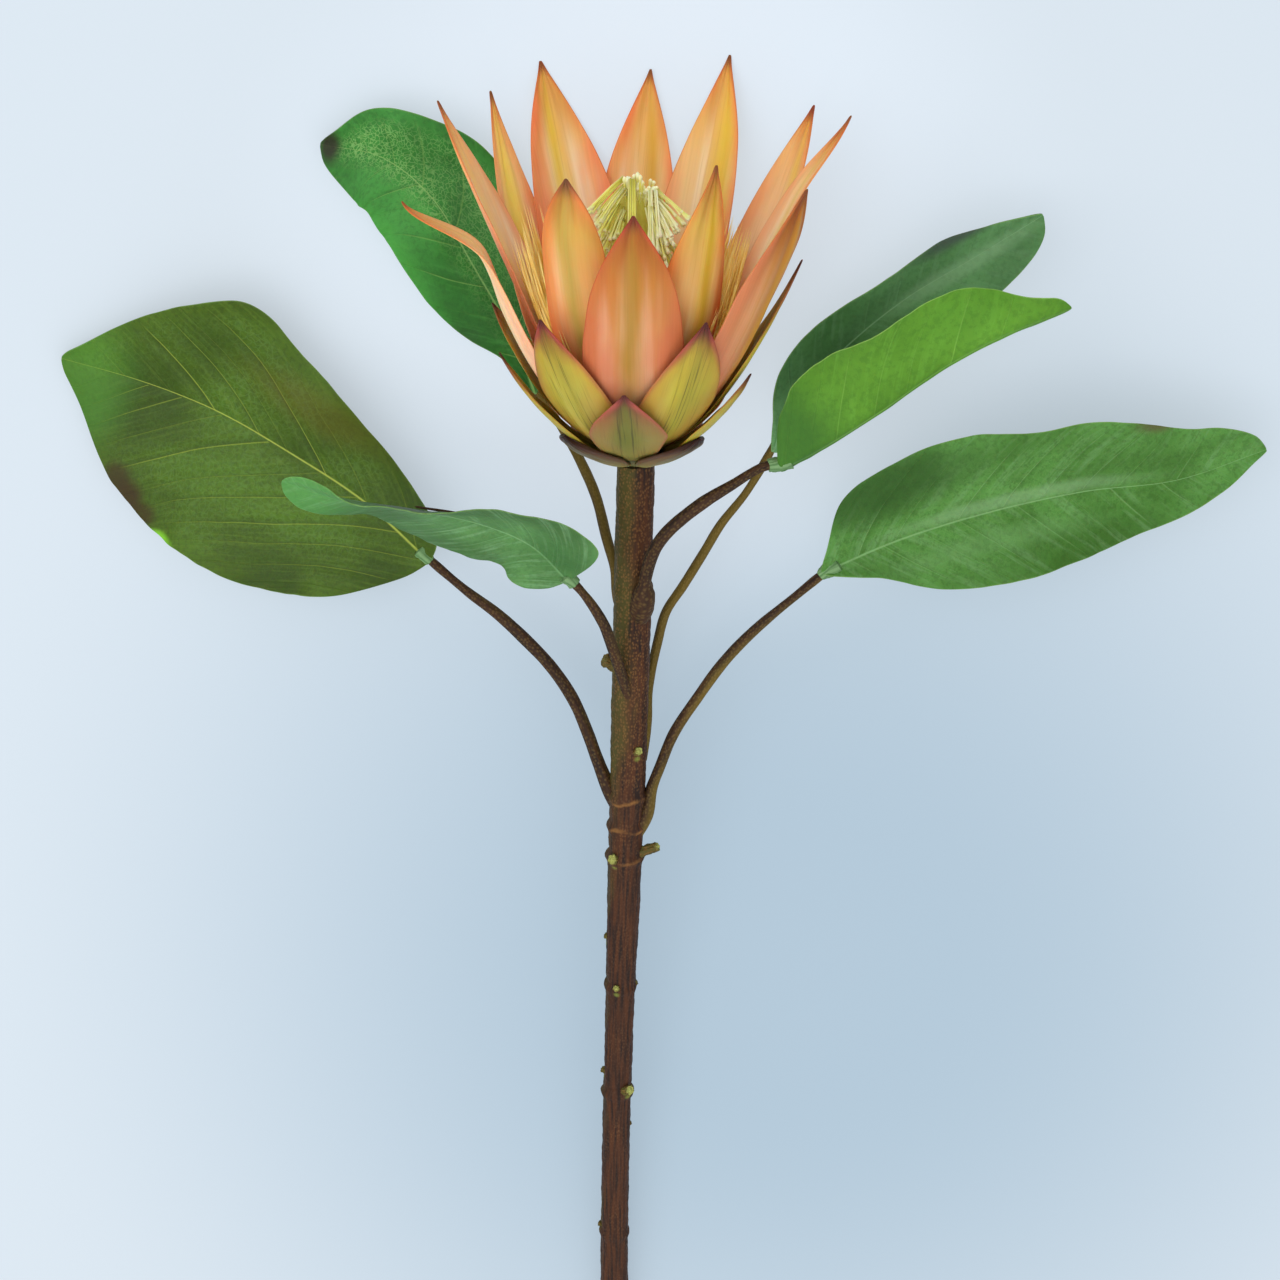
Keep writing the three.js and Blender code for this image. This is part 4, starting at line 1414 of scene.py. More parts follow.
    def chaff(self) -> tuple[Bundle, ...]:
        """Returns the clumps of yellow fibre that line the inside of the petals."""
        random = np.random.default_rng(5)
        made = []
        for k in range(self.chaff_clumps):
            turn = 360 * (k + random.uniform(-0.3, 0.3)) / self.chaff_clumps
            front = math.cos(math.radians(turn))
            top = mix(74, 83, (1 - front) / 2) if abs(front) < 0.6 else 60
            top += random.uniform(-5, 3)
            clump = Bundle(
                round_the_axis(turn, 11.5, 26),
                round_the_axis(turn, 27, 38),
                round_the_axis(turn + random.uniform(-9, 9), 36.5 - (80 - top) * 0.15, top),
                count=26, root_spread=1.0, end_spread=1.8, radius=0.5, pale=0.3,
            )
            made.append(clump)
        return tuple(made)

    def build(self) -> None:
        """Builds the heart of the bloom."""
        florets = SoftThread(name="soft yellow plastic thread").material()
        yellow = SoftThread(name="golden fibre", foot="#CC8A1E", middle="#FCC848", bead="#FFE694").material()
        green = SoftThread(name="green foam", foot="#4A4620", middle="#6C6832", bead="#7C783C").material()
        self.lathe("receptacle_cone", self.outline, green, "receptacle", "receptacle")
        self.lathe("tuft_core", self.core, florets, "floret")
        tuft = Threads("tuft_threads", ThreadKind.BEADED, sides=5, seed=3, bundles=self.clumps())
        tuft.build(florets, "florets")
        chaff = Threads("chaff_fibres", ThreadKind.POINTED, sides=4, seed=4, bundles=self.chaff())
        chaff.build(yellow)


# ---------------------------------------------------------------------------------------- leaves


@dataclass(frozen=True)
class Leaf:
    """One leaf: its stalk from the stem out, its blade from there on, and its print.

    The half widths are left and right of the midrib as seen from above with the tip pointing up.
    roll turns the blade about its length, fold lifts its halves about the midrib in a bend, and
    ripple waves its edges.
    """

    name: str
    stalk: tuple[tuple[float, float, float], ...]
    blade: tuple[tuple[float, float, float], ...]
    left: tuple[float, ...]
    right: tuple[float, ...]
    base_round: float
    tip_round: float
    roll: tuple[float, ...]
    fold: float
    bend: float
    ripple: float
    waves: float
    sunk: float
    thick: float
    finish: PrintedLeaf
    side_veins: float = 9
    vein_slant: float = 0.75
    pleat_mm: float = 0.22
    seed: float = 0.0
    olive: float = 0.2  # how much of the stalk's skin is olive
    foot: float = 1.9  # how much thicker the stalk is where it joins the stem
    sheath: int = 0  # how many of the stalk's rings the film sleeve at the blade's base takes in
    mesh_step_mm: float = 1.4  # the size of the blade's faces before they are made smoother
    ring_step_mm: float = 0.9  # how far the stalk's rings stand apart
    blade_mm: float = 0.8
    rim: float = 0.6  # the share of the blade's thickness that is left at its margins
    foot_mm: float = 1.9

    def rounding(self, u: np.ndarray) -> np.ndarray:
        """Returns how much of its width the blade has at u."""
        base = np.minimum(u / self.base_round, 1)
        tip = np.minimum((1 - u) / self.tip_round, 1)
        return np.sqrt(1 - (1 - base) ** 2) * np.sqrt(1 - (1 - tip) ** 2)

    def half_width(self, u: np.ndarray, v: np.ndarray) -> np.ndarray:
        """Returns the half width, in millimetres, on the side of the midrib where v is."""
        width = np.where(v < 0, spline(self.left, u), spline(self.right, u))
        return np.maximum(width * self.rounding(u), 0.5)

    def length(self) -> float:
        """Returns the blade's length, in millimetres."""
        line = Line(self.blade).at(np.linspace(0, 1, 200))
        return float(np.linalg.norm(np.diff(line, axis=0), axis=1).sum())

    def veins(self, u: np.ndarray, v: np.ndarray) -> tuple[np.ndarray, np.ndarray]:
        """Numbers the side veins, which leave the midrib at a slant and curve to the tip.

        Args:
            u: From 0 at the base to 1 at the tip.
            v: From -1 to 1 across.

        Returns:
            The vein's number, whole on each vein, and how strong the veins are there.
        """
        length = self.length()
        out = np.abs(v) * self.half_width(u, v)
        side = np.where(v < 0, 0.0, 0.43)
        run = u * length - self.vein_slant * out - 0.006 * out**2
        number = run / length * self.side_veins + side
        number = number + 0.34 * wander(run / length * 1.3 + side, self.seed)
        strong = smooth(1 - np.abs(v), 0.02, 0.5) * smooth(u, 0.0, 0.06) * smooth(1 - u, 0.05, 0.25)
        power = 0.6 + 0.75 * wander(np.round(number) * 0.37 + side, self.seed + 0.3)
        strong = strong * np.clip(power, 0.1, 1)
        return number, strong

    def surface(self, u: np.ndarray, v: np.ndarray) -> Points:
        """Gives the blade's middle surface.

        Args:
            u: From 0 at the base to 1 at the tip.
            v: From -1 to 1 across.

        Returns:
            Plant points in millimetres.
        """
        midrib = Line(self.blade)
        along = midrib.tangent(u)
        down = unit(np.array([0.0, 1.0, 0.0]) - along * along[:, 1:2])
        across = np.cross(down, along)
        roll = np.radians(spline(self.roll, u))[:, None]
        right = across * np.cos(roll) - down * np.sin(roll)
        up = -down * np.cos(roll) - across * np.sin(roll)
        width = self.half_width(u, v) * (1 + 0.012 * wander(u * 3.1 + (v > 0) * 0.4, self.seed))
        half = abs(math.radians(self.fold)) / 2
        reach = np.abs(v) * width
        bent = np.minimum(reach, self.bend * half)
        turn = bent / self.bend
        out = self.bend * np.sin(turn) + (reach - bent) * np.cos(turn)
        lift = self.bend * (1 - np.cos(turn)) + (reach - bent) * np.sin(turn)
        wave = self.ripple * v * v * np.sin(math.tau * self.waves * u + v)
        fret = 0.35 * wander(u * 6.5 + (v > 0) * 0.21, self.seed + 0.7) * smooth(np.abs(v), 0.55, 1)
        number, strong = self.veins(u, v)
        pleat = -self.pleat_mm * np.cos(math.tau * number) * strong * smooth(reach, 0.5, 4)
        groove = -0.35 * np.exp(-((reach / 1.1) ** 2)) * smooth(1 - u, 0.02, 0.3)
        swell = 0.5 * wander(u * 1.4 + v * 0.35, self.seed + 0.2) * smooth(np.abs(v), 0.1, 0.6)
        folded = math.copysign(1, self.fold) * lift
        height = folded + (wave + fret + swell) * self.rounding(u) + pleat + groove
        return midrib.at(u) + right * (np.sign(v) * out)[:, None] + up * height[:, None]

    def under(self, u: float) -> Points:
        """Finds the direction straight away from the blade's underside.

        Args:
            u: The place along the midrib.

        Returns:
            The direction there, as a unit vector.
        """
        at = np.array([u])
        along = Line(self.blade).tangent(at)[0]
        down = unit(np.array([0.0, 1.0, 0.0]) - along * along[1])
        roll = math.radians(float(spline(self.roll, at)[0]))
        right = np.cross(down, along) * math.cos(roll) - down * math.sin(roll)
        return unit(np.cross(along, right))

    def build(self) -> None:
        """Builds, dresses and hands in the blade and its stalk."""
        length = self.length()
        widest = max(max(self.left), max(self.right))
        along, across = int(length / self.mesh_step_mm), int(2 * widest / self.mesh_step_mm) // 2 * 2
        piece = Workshop.sheet(
            f"leaf_{self.name}_sheet", self.surface, along, across, self.blade_mm, self.rim
        )
        u, v = Workshop.corners(piece)
        half = self.half_width(u, v)
        number, strong = self.veins(u, v)
        Workshop.note(piece, PLACE, v * half, u * length, self.seed * 10)
        Workshop.note(piece, REACH, (1 - np.abs(v)) * half, (1 - u) * length, u)
        Workshop.note(piece, VEIN, number, strong, np.sign(v))
        Workshop.smooth_shade(piece)
        Workshop.hand_in(piece, self.finish.material(), "leaf", f"leaf_{self.name}")
        self.build_stalk()

    def stalk_line(self) -> tuple[Line, float]:
        """Lays the stalk from the stem out and on under the blade, as its midrib.

        Returns:
            The line, and the share of its length at which the blade begins.
        """
        solid_thick, gap, rib_radius, raised = 0.9, 0.3, 1.1, 0.35
        depth = solid_thick / 2 + gap + rib_radius + self.sunk - raised
        count = len(self.stalk)
        near = smooth(np.arange(count) / (count - 1), 0.5, 1)
        under = self.under(0.0)
        places = [np.array(p, float) + under * (depth + 0.5) * n for p, n in zip(self.stalk, near)]
        middle = Line(self.blade)
        for at in (0.04, 0.12, 0.2, 0.28, 0.36, 0.45, 0.58):
            places.append(middle.at(np.array([at]))[0] + self.under(at) * depth)
        line = Line(places)
        samples = 900
        steps = np.linalg.norm(np.diff(line.at(np.linspace(0, 1, samples)), axis=0), axis=1)
        joint = int(samples * count / (len(places) - 1))
        return line, float(steps[:joint].sum() / steps.sum())

    def build_stalk(self) -> None:
        """Builds, dresses and hands in the stalk."""
        line, share = self.stalk_line()
        total = float(np.linalg.norm(np.diff(line.even(300), axis=0), axis=1).sum())
        rings, sides = int(total / self.ring_step_mm), 20
        rib_mm, rib_end_mm = 1.15, 0.35
        centres = line.even(rings)
        u = np.linspace(0, 1, rings)
        swollen = (self.foot - self.foot_mm) * smooth(u, 0.0, 0.05) * smooth(-u, -0.13, -0.09)
        foot = self.foot_mm * np.maximum(0, 1 - u / 0.13) ** 1.5 + swollen
        knee = 0.35 * np.exp(-(((u - share * 0.93) / 0.03) ** 2))
        stalk = mix(self.thick / 2, rib_mm, smooth(u, share * 0.6, share)) + foot + knee
        rib = mix(rib_mm, rib_end_mm, np.clip((u - share) / (1 - share), 0, 1))
        radius = np.where(u < share, stalk, rib)
        radius[0] = radius[-1] = 0
        turn = np.arange(sides) / sides
        lumps = 0.03 * wander(u[:, None] * 9 + turn[None, :] * 0, self.seed)
        ridges = 0.035 * np.cos(math.tau * (turn[None, :] * 3 + 0.2 * wander(u[:, None] * 2, self.seed)))
        rough = 1 + lumps + ridges
        firsts, seconds = frames_along(centres, (0.0, -1.0, 0.0))
        piece = Workshop.tube(f"stalk_{self.name}_skin", centres, firsts, seconds, radius[:, None] * rough)
        along, around = Workshop.corners(piece)
        angle = around * math.pi
        Workshop.note(piece, PLACE, np.cos(angle) * 2 + self.seed * 9, np.sin(angle) * 2, along * total)
        olive = self.olive + 0.12 * wander(along * 2.5, self.seed) - 0.2 * np.sin(angle)
        Workshop.note(piece, REACH, olive, 0.5, 0.0)
        Workshop.smooth_shade(piece, 60)
        skin = GrainedSkin(
            name=f"grained stalk skin {self.name}", brown="#38210F", dark="#20130A", olive="#5E4C16",
            worn="#866A30",
        )
        Workshop.hand_in(piece, skin.material(), "leaf_stalk", f"stalk_{self.name}")
        if self.sheath:
            first = int(share * rings) - 8
            self.build_sheath(centres[first : first + self.sheath])

    def build_sheath(self, centres: Points) -> None:
        """Builds the torn film sleeve round the joint of stalk and blade.

        Args:
            centres: The middle of each of its rings, in millimetres.
        """
        rings, sides = len(centres), 16
        u, turn = np.linspace(0, 1, rings)[:, None], (np.arange(sides) / sides)[None, :]
        firsts, seconds = frames_along(centres, (0.0, -1.0, 0.0))
        ends = np.where((u > 0) & (u < 1), 1.0, 0.02)
        radius = (1.9 + 1.2 * u) * (1 + 0.25 * wander(turn * 2.2 + u, self.seed)) * ends
        piece = Workshop.tube(f"sheath_{self.name}", centres, firsts, seconds, radius)
        along, around = Workshop.corners(piece)
        angle = around * math.pi
        Workshop.note(piece, PLACE, np.cos(angle) * 3, np.sin(angle) * 3, along * rings)
        Workshop.note(piece, REACH, 0.3, 0.0, 0.0)
        Workshop.smooth_shade(piece, 60)
        film = GrainedSkin(
            name=f"torn leaf film {self.name}", brown="#6C8C5C", dark="#4C6E40", olive="#8CA27E",
            worn="#A8B8A0",
        )
        Workshop.hand_in(piece, film.material(), "leaf_stalk")


LEAVES = (
    Leaf(
        name="behind_left",
        stalk=(
            (0, 2, -60), (-5, 3, -50), (-6.5, 7, -40.5), (-9.5, 13, -31.5), (-13, 21, -20.5),
            (-18.5, 30, -11), (-26, 37, 0),
        ),
        blade=((-34, 38, 11), (-42, 39, 33), (-54, 40, 56), (-68, 42, 80), (-84, 43, 93), (-104, 44, 97)),
        left=(2, 5.5, 15, 19.5, 21, 20.8, 18.3, 18.5, 15.7), right=(2.7, 9.3, 17, 23, 25, 26, 20.5, 16, 7),
        base_round=0.1, tip_round=0.25, roll=(0, 0, 0), fold=20, bend=14, ripple=0.8, waves=3, sunk=0.1,
        thick=3.6,
        finish=PrintedLeaf(
            name="printed leaf, dark and netted", dark="#22521A", mid="#2C6A24", light="#3C8034",
            vein="#7A9E50", vein_power=0.5, midrib="#7A9C54",
            net="#7CA45C", net_power=0.7, net_mm=1.25, net_from_mm=-9.0, streak="#458A3A", streak_power=0.3,
            speck="#184410", speck_power=0.2,
            furrow_shade_power=0.35,
            spots=(
                (0, 115, 9, 6, 0.9, "#241A12"), (-22, 75, 10, 60, 0.7, "#3E8C34"),
                (8, 55, 14, 50, 0.4, "#1E4A14"),
            ),
        ),
        side_veins=9, seed=0.13, olive=0.75,
    ),
    Leaf(
        name="left",
        stalk=(
            (-3, 1, -134), (-9, 1, -123), (-13, 3, -113), (-16.5, 5, -103), (-21.5, 8, -91.5),
            (-29, 11, -80.5), (-38, 14, -71.5), (-48, 16, -62.5), (-59.5, 18, -54),
        ),
        blade=((-71, 20, -44), (-93, 24, -23), (-118, 29, -7), (-143, 33, 7), (-169, 36, 17), (-196, 39, 24)),
        left=(17, 35.5, 45.5, 50.5, 51.7, 51, 42.5, 31, 13),
        right=(11.5, 15, 21.4, 29.5, 35.4, 42.8, 32.7, 18.7, 8.5),
        base_round=0.1, tip_round=0.2, roll=(-4, 0, 4), fold=14, bend=20, ripple=1.2, waves=3, sunk=0,
        thick=4.3,
        finish=PrintedLeaf(
            name="printed leaf, olive", dark="#2E4208", mid="#3A510B", light="#435F14", vein="#8A9834",
            vein_power=0.6, midrib="#98A240", net_power=0.12,
            streak="#566E22", streak_power=0.3, speck="#2A3C08", speck_power=0.3, furrow_shade_power=0.6,
            spots=(
                (-35, 116, 7, 9, 0.7, "#341C0E"), (-41, 109, 8, 9, 0.8, "#341C0E"),
                (-46, 101, 7, 9, 0.7, "#341C0E"), (20, 58, 12, 38, 0.45, "#544A0E"),
                (-51.8, 89, 3.5, 12, 0.95, "#70AC26"), (-4, 140, 42, 26, 0.5, "#467D29"),
            ),
        ),
        side_veins=9, vein_slant=1.35, pleat_mm=0.5, seed=0.41, sheath=9,
    ),
    Leaf(
        name="front_left",
        stalk=(
            (1, -1, -92), (-2.5, -5, -81), (-5.2, -9, -70), (-7.5, -12, -61), (-10, -15, -52.5),
            (-14, -17, -45), (-18.5, -18, -38.5),
        ),
        blade=(
            (-22, -18, -34), (-34, -18, -21), (-53, -19, -12), (-74, -21, -7), (-95, -22, -3),
            (-114, -23, 4),
        ),
        left=(11, 16.5, 15.5, 18.5, 24, 21, 14, 11.5, 10), right=(22, 23, 20, 16, 11, 8, 8, 8.5, 8),
        base_round=0.08, tip_round=0.12, roll=(22, 36, 62, 30), fold=20, bend=12, ripple=0.6, waves=4,
        sunk=0, thick=3.8,
        finish=PrintedLeaf(
            name="printed leaf, pale underside", dark="#3C6030", mid="#4A743E", light="#568646",
            vein="#78A06C", vein_power=0.35, midrib="#6E9662", net_power=0.1,
            streak="#7CA276", streak_power=0.35, speck="#345A2C", speck_power=0.2, furrow_shade_power=0.25,
            gloss=0.5,
            spots=(
                # The first spot, grey, is painted shade where the blade twists.
                (3, 60, 6, 14, 0.7, "#4E5C50"), (0, 98, 30, 26, 0.5, "#4E8E3E"),
                (6, 12, 12, 16, 0.5, "#2E5A26"),
            ),
        ),
        side_veins=8, seed=0.62, sheath=8,
    ),
    Leaf(
        name="behind_right",
        stalk=(
            (1, 1, -112), (4, 3, -98), (5, 6, -85), (8, 9, -70), (11, 11, -59), (17, 13, -50),
            (24, 15, -39), (30, 16, -29), (39, 17, -17),
        ),
        blade=((47, 17, -2), (54, 18, 16), (70, 20, 34), (90, 24, 50), (112, 27, 63), (135, 30, 77)),
        left=(2, 5, 12.4, 14.3, 12.3, 11, 11.8, 7.7, 3.5),
        right=(7.4, 13, 17, 18.4, 19.5, 20, 17, 12.7, 11.6),
        base_round=0.1, tip_round=0.14, roll=(-10, -6, 0), fold=26, bend=12, ripple=0.8, waves=2.5, sunk=0,
        thick=3.3,
        finish=PrintedLeaf(
            name="printed leaf, blue green", dark="#3C6434", mid="#4A7442", light="#5A8852", vein="#6C8E62",
            vein_power=0.15, midrib="#6C9064", net_power=0.05,
            streak="#6C8E66", streak_power=0.2, speck="#2A4E24", furrow_shade_power=0.15,
            spots=(
                # The pale spot along the midrib, at 92 mm, is a painted highlight.
                (-11, 104, 5, 36, 0.85, "#38403A"), (1, 92, 5, 34, 0.5, "#76986C"),
                (-4, 20, 14, 34, 0.1, "#2E5428"),
            ),
        ),
        side_veins=9, seed=0.83, olive=0.8,
    ),
    Leaf(
        name="front_right",
        stalk=(
            (1, -1, -56), (3, -6, -46), (4, -9, -36), (7, -12, -25), (12, -14, -17), (23, -15, -8),
            (33, -14, -3), (43, -12, 2),
        ),
        blade=((48, -10, 2), (62, -9, 10), (80, -8, 22), (101, -6, 37), (121, -5, 48), (141, -3, 56)),
        left=(8.2, 20.3, 26.5, 25.6, 24, 24.5, 19.7, 10, 8.6), right=(8, 13, 16, 15, 10, 5),
        base_round=0.12, tip_round=0.08, roll=(-50, -50, -46), fold=-100, bend=5, ripple=1.6, waves=2.4,
        sunk=0.5, thick=4.3,
        finish=PrintedLeaf(
            name="printed leaf, bright and mottled", dark="#3E6A14", mid="#4A781A", light="#568824",
            vein="#7CAA44", vein_power=0.35, midrib="#74A040", net_power=0.0,
            streak="#6CA438", speck="#3A6812", speck_power=0.3, speck_mm=2.0, furrow_shade_power=0.2,
            rim="#90B860", rim_power=0.6,
            spots=((-10, 8, 24, 34, 0.75, "#305C1C"), (-14, 80, 12, 24, 0.35, "#3C6C14")),
        ),
        side_veins=8, seed=0.27, foot=3.4, sheath=11,
    ),
    Leaf(
        name="right",
        stalk=(
            (-2, 0, -143), (4, -1, -133), (6, 0, -123), (9, 0, -114), (14, 1, -101), (22, 2, -88),
            (31, 3, -75), (41, 4, -64), (55, 4, -51),
        ),
        blade=((64, 4, -41), (90, 7, -30), (122, 11, -21), (153, 14, -15), (185, 17, -12), (215, 20, -2)),
        left=(6, 25.8, 30.8, 30.9, 26.8, 26.5, 22.7, 16.8, 11.6),
        right=(3, 9.7, 21.3, 25.2, 24.4, 21.8, 15, 8.5, 3),
        base_round=0.1, tip_round=0.1, roll=(0, 6, 4), fold=30, bend=22, ripple=1.4, waves=2.4, sunk=0,
        thick=3.8,
        finish=PrintedLeaf(
            name="printed leaf, mid green", dark="#325919", mid="#3F6C27", light="#4E7F37", vein="#75985F",
            vein_power=0.35, midrib="#6C9259", net_power=0.12,
            streak="#729465", streak_power=0.25, speck="#274C0A", speck_power=0.3, furrow_shade_power=0.35,
            spots=(
                (-23, 120, 5, 14, 0.75, "#4E3F27"), (-22, 34, 17, 44, 0.8, "#21430D"),
                # These two pale spots along the midrib are painted highlights.
                (-3, 70, 4, 60, 0.45, "#749465"), (10, 60, 6, 50, 0.3, "#638A52"),
            ),
        ),
        side_veins=10, vein_slant=0.85, pleat_mm=0.3, seed=0.55, olive=0.45, sheath=11,
    ),
)


# ------------------------------------------------------------------------------------------ stem


@dataclass(frozen=True)
class Stem:
    """The woody stem with its knots, ring scars and the stubs of broken side shoots."""

    length: float = 385
    top: float = 2  # how far it reaches into the bloom
    ring_step_mm: float = 0.8
    stub_root_mm: float = 2  # how deep a stub is rooted in the stem
    radii: tuple[float, ...] = (5.3, 5.3, 5.2, 5.2, 5.3, 5.9, 6.2, 6.4, 6.4, 6.3)
    bends: tuple[float, ...] = (-7.5, -8.0, -7.6, -6.6, -5.4, -4.0, -2.6, -1.4, -0.4, 0.6)
    # Knots: height, and how far each stands out.
    knots: tuple[tuple[float, float], ...] = (
        (-45, 0.5), (-125.5, 0.7), (-137.5, 0.9), (-150, 1.2), (-205, 0.7), (-252, 1.1), (-318, 0.6)
    )
    knot_half: float = 3
    # Stubs: height, turn (0 faces up, 90 is right), length, radius and how torn and green.
    stubs: tuple[tuple[float, float, float, float, float], ...] = (
        (-76, -84, 4.2, 2.4, 0.4), (-108, 30, 2.0, 1.5, 0.8), (-150.5, 74, 6.5, 1.7, 0.6),
        (-152, -38, 2.2, 1.9, 0.7), (-187, -92, 1.4, 1.2, 0.2), (-206, -14, 1.6, 1.2, 0.6),
        (-207, 92, 1.2, 1.2, 0.2), (-246, -95, 1.6, 1.2, 0.2), (-252, 40, 2.2, 1.8, 0.8),
        (-270, 92, 1.0, 1.0, 0.1), (-318, -95, 1.0, 1.0, 0.1),
    )

    def middle(self, z: np.ndarray) -> np.ndarray:
        """Returns the sideways place of the stem's middle at a height."""
        return spline(self.bends, np.clip(1 + z / self.length, 0, 1))

    def radius(self, z: np.ndarray) -> np.ndarray:
        """Returns the stem's radius at a height, knots included."""
        knots = [out * np.exp(-(((z - at) / (self.knot_half * 0.6)) ** 2)) for at, out in self.knots]
        return spline(self.radii, np.clip(1 + z / self.length, 0, 1)) + np.max(knots, axis=0)

    def build(self) -> None:
        """Builds, dresses and hands in the stem, then its stubs as pieces of their own."""
        heights = np.arange(-self.length, self.top, self.ring_step_mm)
        sides = 48
        turn = np.arange(sides) / sides
        z, a = heights[:, None], turn[None, :]
        flutes = 0.12 * np.cos(math.tau * (a * 7 + 0.25 * wander(z / 60, 0.5)))
        ridges = 0.18 * wander(a * 2 + 0 * z, 0.2) + flutes
        dents = 0.1 * wander(z / 5 + np.sin(math.tau * a), 0.4)
        lumps = 0.16 * wander(z / 16 + 0.6 * np.cos(math.tau * a), 0.8) + dents
        scars = sum(
            -0.35 * np.exp(-(((z - at - 2.2 - 1.2 * np.cos(math.tau * a + at)) / 0.8) ** 2))
            for at, _ in self.knots
        )
        body = self.radius(heights)[:, None] + ridges + lumps + scars
        # The square cut at the foot and the blunt top, closed by shrinking rings.
        cut = [0.0, 0.55, 0.93]
        body = np.vstack([body[:1] * k for k in cut] + [body] + [body[-1:] * k for k in cut[::-1]])
        heights = np.concatenate([np.full(3, -self.length) - [0, 0, 0.15], heights, np.full(3, heights[-1])])
        heights[:3] = (-self.length + 0.5, -self.length + 0.3, -self.length - 0.1)
        centres = np.stack([self.middle(heights), heights * 0, heights], -1)
        ones = np.ones((len(heights), 1))
        piece = Workshop.tube("stem_skin", centres, ones * [0, -1.0, 0], ones * [1.0, 0, 0], body)
        along, around = Workshop.corners(piece)
        angle = around * math.pi
        at = np.interp(along, np.linspace(0, 1, len(heights)), heights)
        pebbled = 0.1 + smooth(at, -170, -60) * 0.85 + 0.3 * wander(np.cos(angle) * 0.8 + at / 40, 0.3)
        cloud = 0.1 * wander(at / 50 + np.sin(angle) * 0.3, 0.9)
        olive = 0.06 + 0.34 * np.sin(angle) + smooth(at, -200, -40) * 0.4 + cloud
        torn = 0.0
        for height, turn_deg, *_ in self.stubs:
            off = np.angle(np.exp(1j * (angle - math.radians(turn_deg) - math.pi)))
            torn = torn + np.exp(-(((at - height) / 1.8) ** 2) - (off / 0.35) ** 2)
        Workshop.note(piece, PLACE, np.cos(angle) * 6, np.sin(angle) * 6, at)
        rings = sum(
            np.exp(-((at - height - 1.4 * wander(np.sin(angle) * 0.4, height)) ** 2))
            for height, _ in self.knots[1:4]
        )
        worn = rings * (0.45 + 0.35 * wander(np.cos(angle) * 0.9, at / 25))
        Workshop.note(piece, REACH, olive, np.clip(pebbled, 0.1, 1), torn * 0.6 - worn)
        Workshop.smooth_shade(piece, 45)
        Workshop.hand_in(piece, GrainedSkin(name="grained stem skin").material(), "bark", "stem")
        self.build_stubs()

    def build_stubs(self) -> None:
        """Builds the torn stubs of side shoots, each a ragged cup on the stem."""
        skin = GrainedSkin(
            name="torn stub", brown="#3C2A12", dark="#20140A", olive="#565020", green="#A2A458"
        ).material()
        for i, (z, turn_deg, length, radius, green) in enumerate(self.stubs, 1):
            turn = math.radians(turn_deg)
            out = unit(np.array([math.sin(turn), -math.cos(turn), 0.5]))
            height = np.array([z])
            inside = float(self.radius(height)[0]) - self.stub_root_mm
            root = np.array([float(self.middle(height)[0]), 0, z]) + out * inside
            reach = length + self.stub_root_mm
            shares = np.array([0, 0, 0.15, 0.35, 0.55, 0.75, 0.9, 1.0, 0.93, 1.02, 1.1])
            rings = np.array([0, 1.35, 1.25, 1.1, 1.0, 0.98, 1.02, 0.8, 0.55, 0.34, 0.0])
            centres = root + shares[:, None] * out * reach
            sides = 16
            a = np.arange(sides) / sides
            ragged = 1 + 0.34 * wander(a[None, :] * 5 + shares[:, None] * 2.6, i * 0.31)
            straight = root + np.linspace(0, 1, len(shares))[:, None] * out
            firsts, seconds = frames_along(straight, (0.0, 0.0, 1.0))
            piece = Workshop.tube(f"stub_{i}", centres, firsts, seconds, rings[:, None] * radius * ragged)
            along, around = Workshop.corners(piece)
            angle = around * math.pi
            x, y = np.cos(angle) * radius, np.sin(angle) * radius + i * 7
            Workshop.note(piece, PLACE, x, y, along * reach)
            Workshop.note(piece, REACH, 0.6, 1.0, smooth(along, 0.45, 0.8) * green)
            Workshop.smooth_shade(piece, 35)
            Workshop.hand_in(piece, skin, "bark")


# ----------------------------------------------------------------------------------------- scene


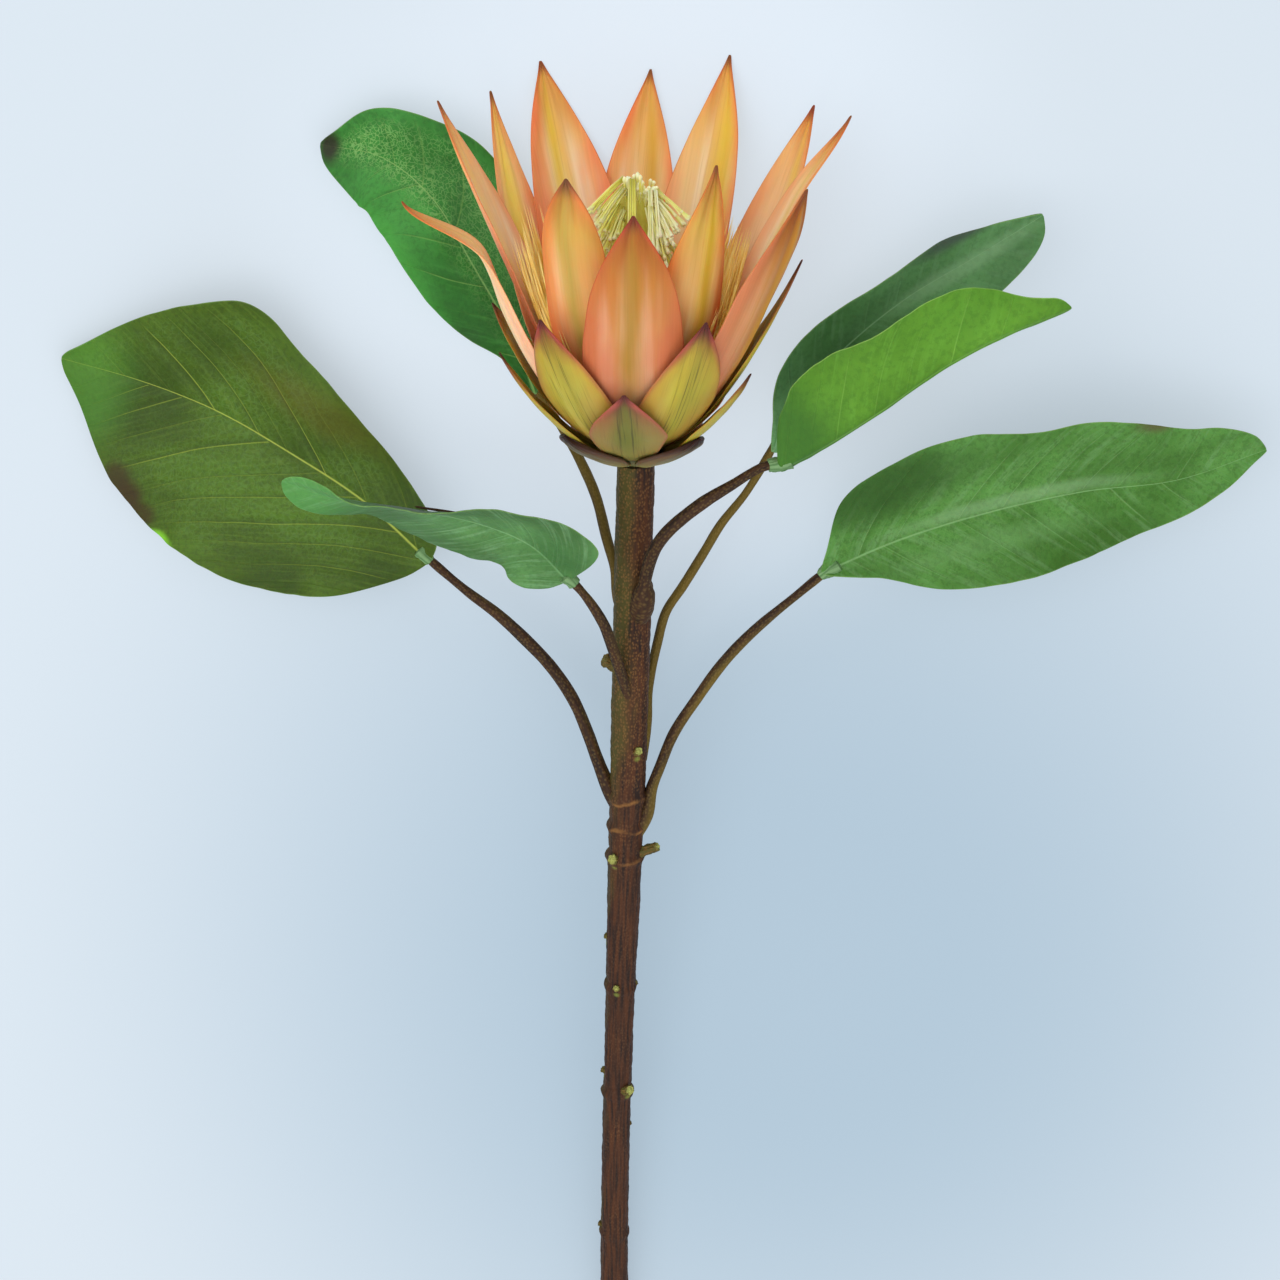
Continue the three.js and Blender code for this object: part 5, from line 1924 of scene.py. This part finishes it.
@dataclass(frozen=True)
class Studio:
    """The table, soft light from above and the camera over the lying flower."""

    camera_mm: tuple[float, float, float] = (2.0, -788.1, 318.4)
    pitch_deg: float = 25.904
    lens_mm: float = 71.72
    sensor_mm: float = 36.0
    table_side: float = 6.0  # in metres

    def build(self) -> None:
        """Builds the table, the lamps, the world's light and the camera."""
        self.table()
        self.lamp("window_light", (-0.55, 0.2, 1.35), size=1.5, watts=15.0)
        self.lamp("fill_light", (0.7, -0.7, 1.3), size=1.5, watts=7.0)
        world = bpy.data.worlds.new("soft room")
        bpy.context.scene.world = world
        world.use_nodes = True
        room = world.node_tree.nodes["Background"]
        room.inputs["Color"].default_value = linear("#EAF0F6")
        room.inputs["Strength"].default_value = 1.0
        bpy.context.scene.view_settings.view_transform = "Standard"
        self.camera()

    def table(self) -> None:
        """Builds the floor that the flower lies on."""
        Workshop.clear()
        bpy.ops.mesh.primitive_grid_add(x_subdivisions=12, y_subdivisions=12, size=self.table_side)
        top = bpy.context.object
        top.name = "table_top"
        top.data.materials.append(TableTop(name="pale floor with painted glow").material())

    def lamp(self, name: str, place: tuple[float, float, float], size: float, watts: float) -> None:
        """Hangs a large square lamp that points at the flower.

        Args:
            name: Its name.
            place: Where it hangs, in metres.
            size: Its side, in metres.
            watts: Its power.
        """
        light = bpy.data.lights.new(name, "AREA")
        light.shape, light.size, light.energy = "SQUARE", size, watts
        hung = bpy.data.objects.new(name, light)
        hung.location = place
        hung.rotation_euler = (Vector((0, 0.05, 0.04)) - Vector(place)).to_track_quat("-Z", "Y").to_euler()
        bpy.context.scene.collection.objects.link(hung)

    def camera(self) -> None:
        """Sets up the camera over the flower's upper side."""
        sight = bpy.data.cameras.new("camera")
        sight.sensor_fit, sight.sensor_width, sight.lens = "HORIZONTAL", self.sensor_mm, self.lens_mm
        sight.clip_start, sight.clip_end = 0.01, 20
        held = bpy.data.objects.new("camera", sight)
        bpy.context.scene.collection.objects.link(held)
        held.location = Vector(LAID.place(np.array([self.camera_mm]))[0])
        held.rotation_euler = (math.radians(LAID.tilt_deg - self.pitch_deg), 0, 0)
        bpy.context.scene.camera = held


def main() -> None:
    """Builds the flower, its table and light."""
    logging.basicConfig(level=logging.INFO, format="%(name)s: %(message)s")
    for layer in LAYERS:
        if layer.slot == "petal":
            layer.build(PrintedPetal)
        else:
            layer.build(PrintedBract)
    Heart().build()
    for leaf in LEAVES:
        leaf.build()
    Stem().build()
    Studio().build()


if __name__ == "__main__":
    main()
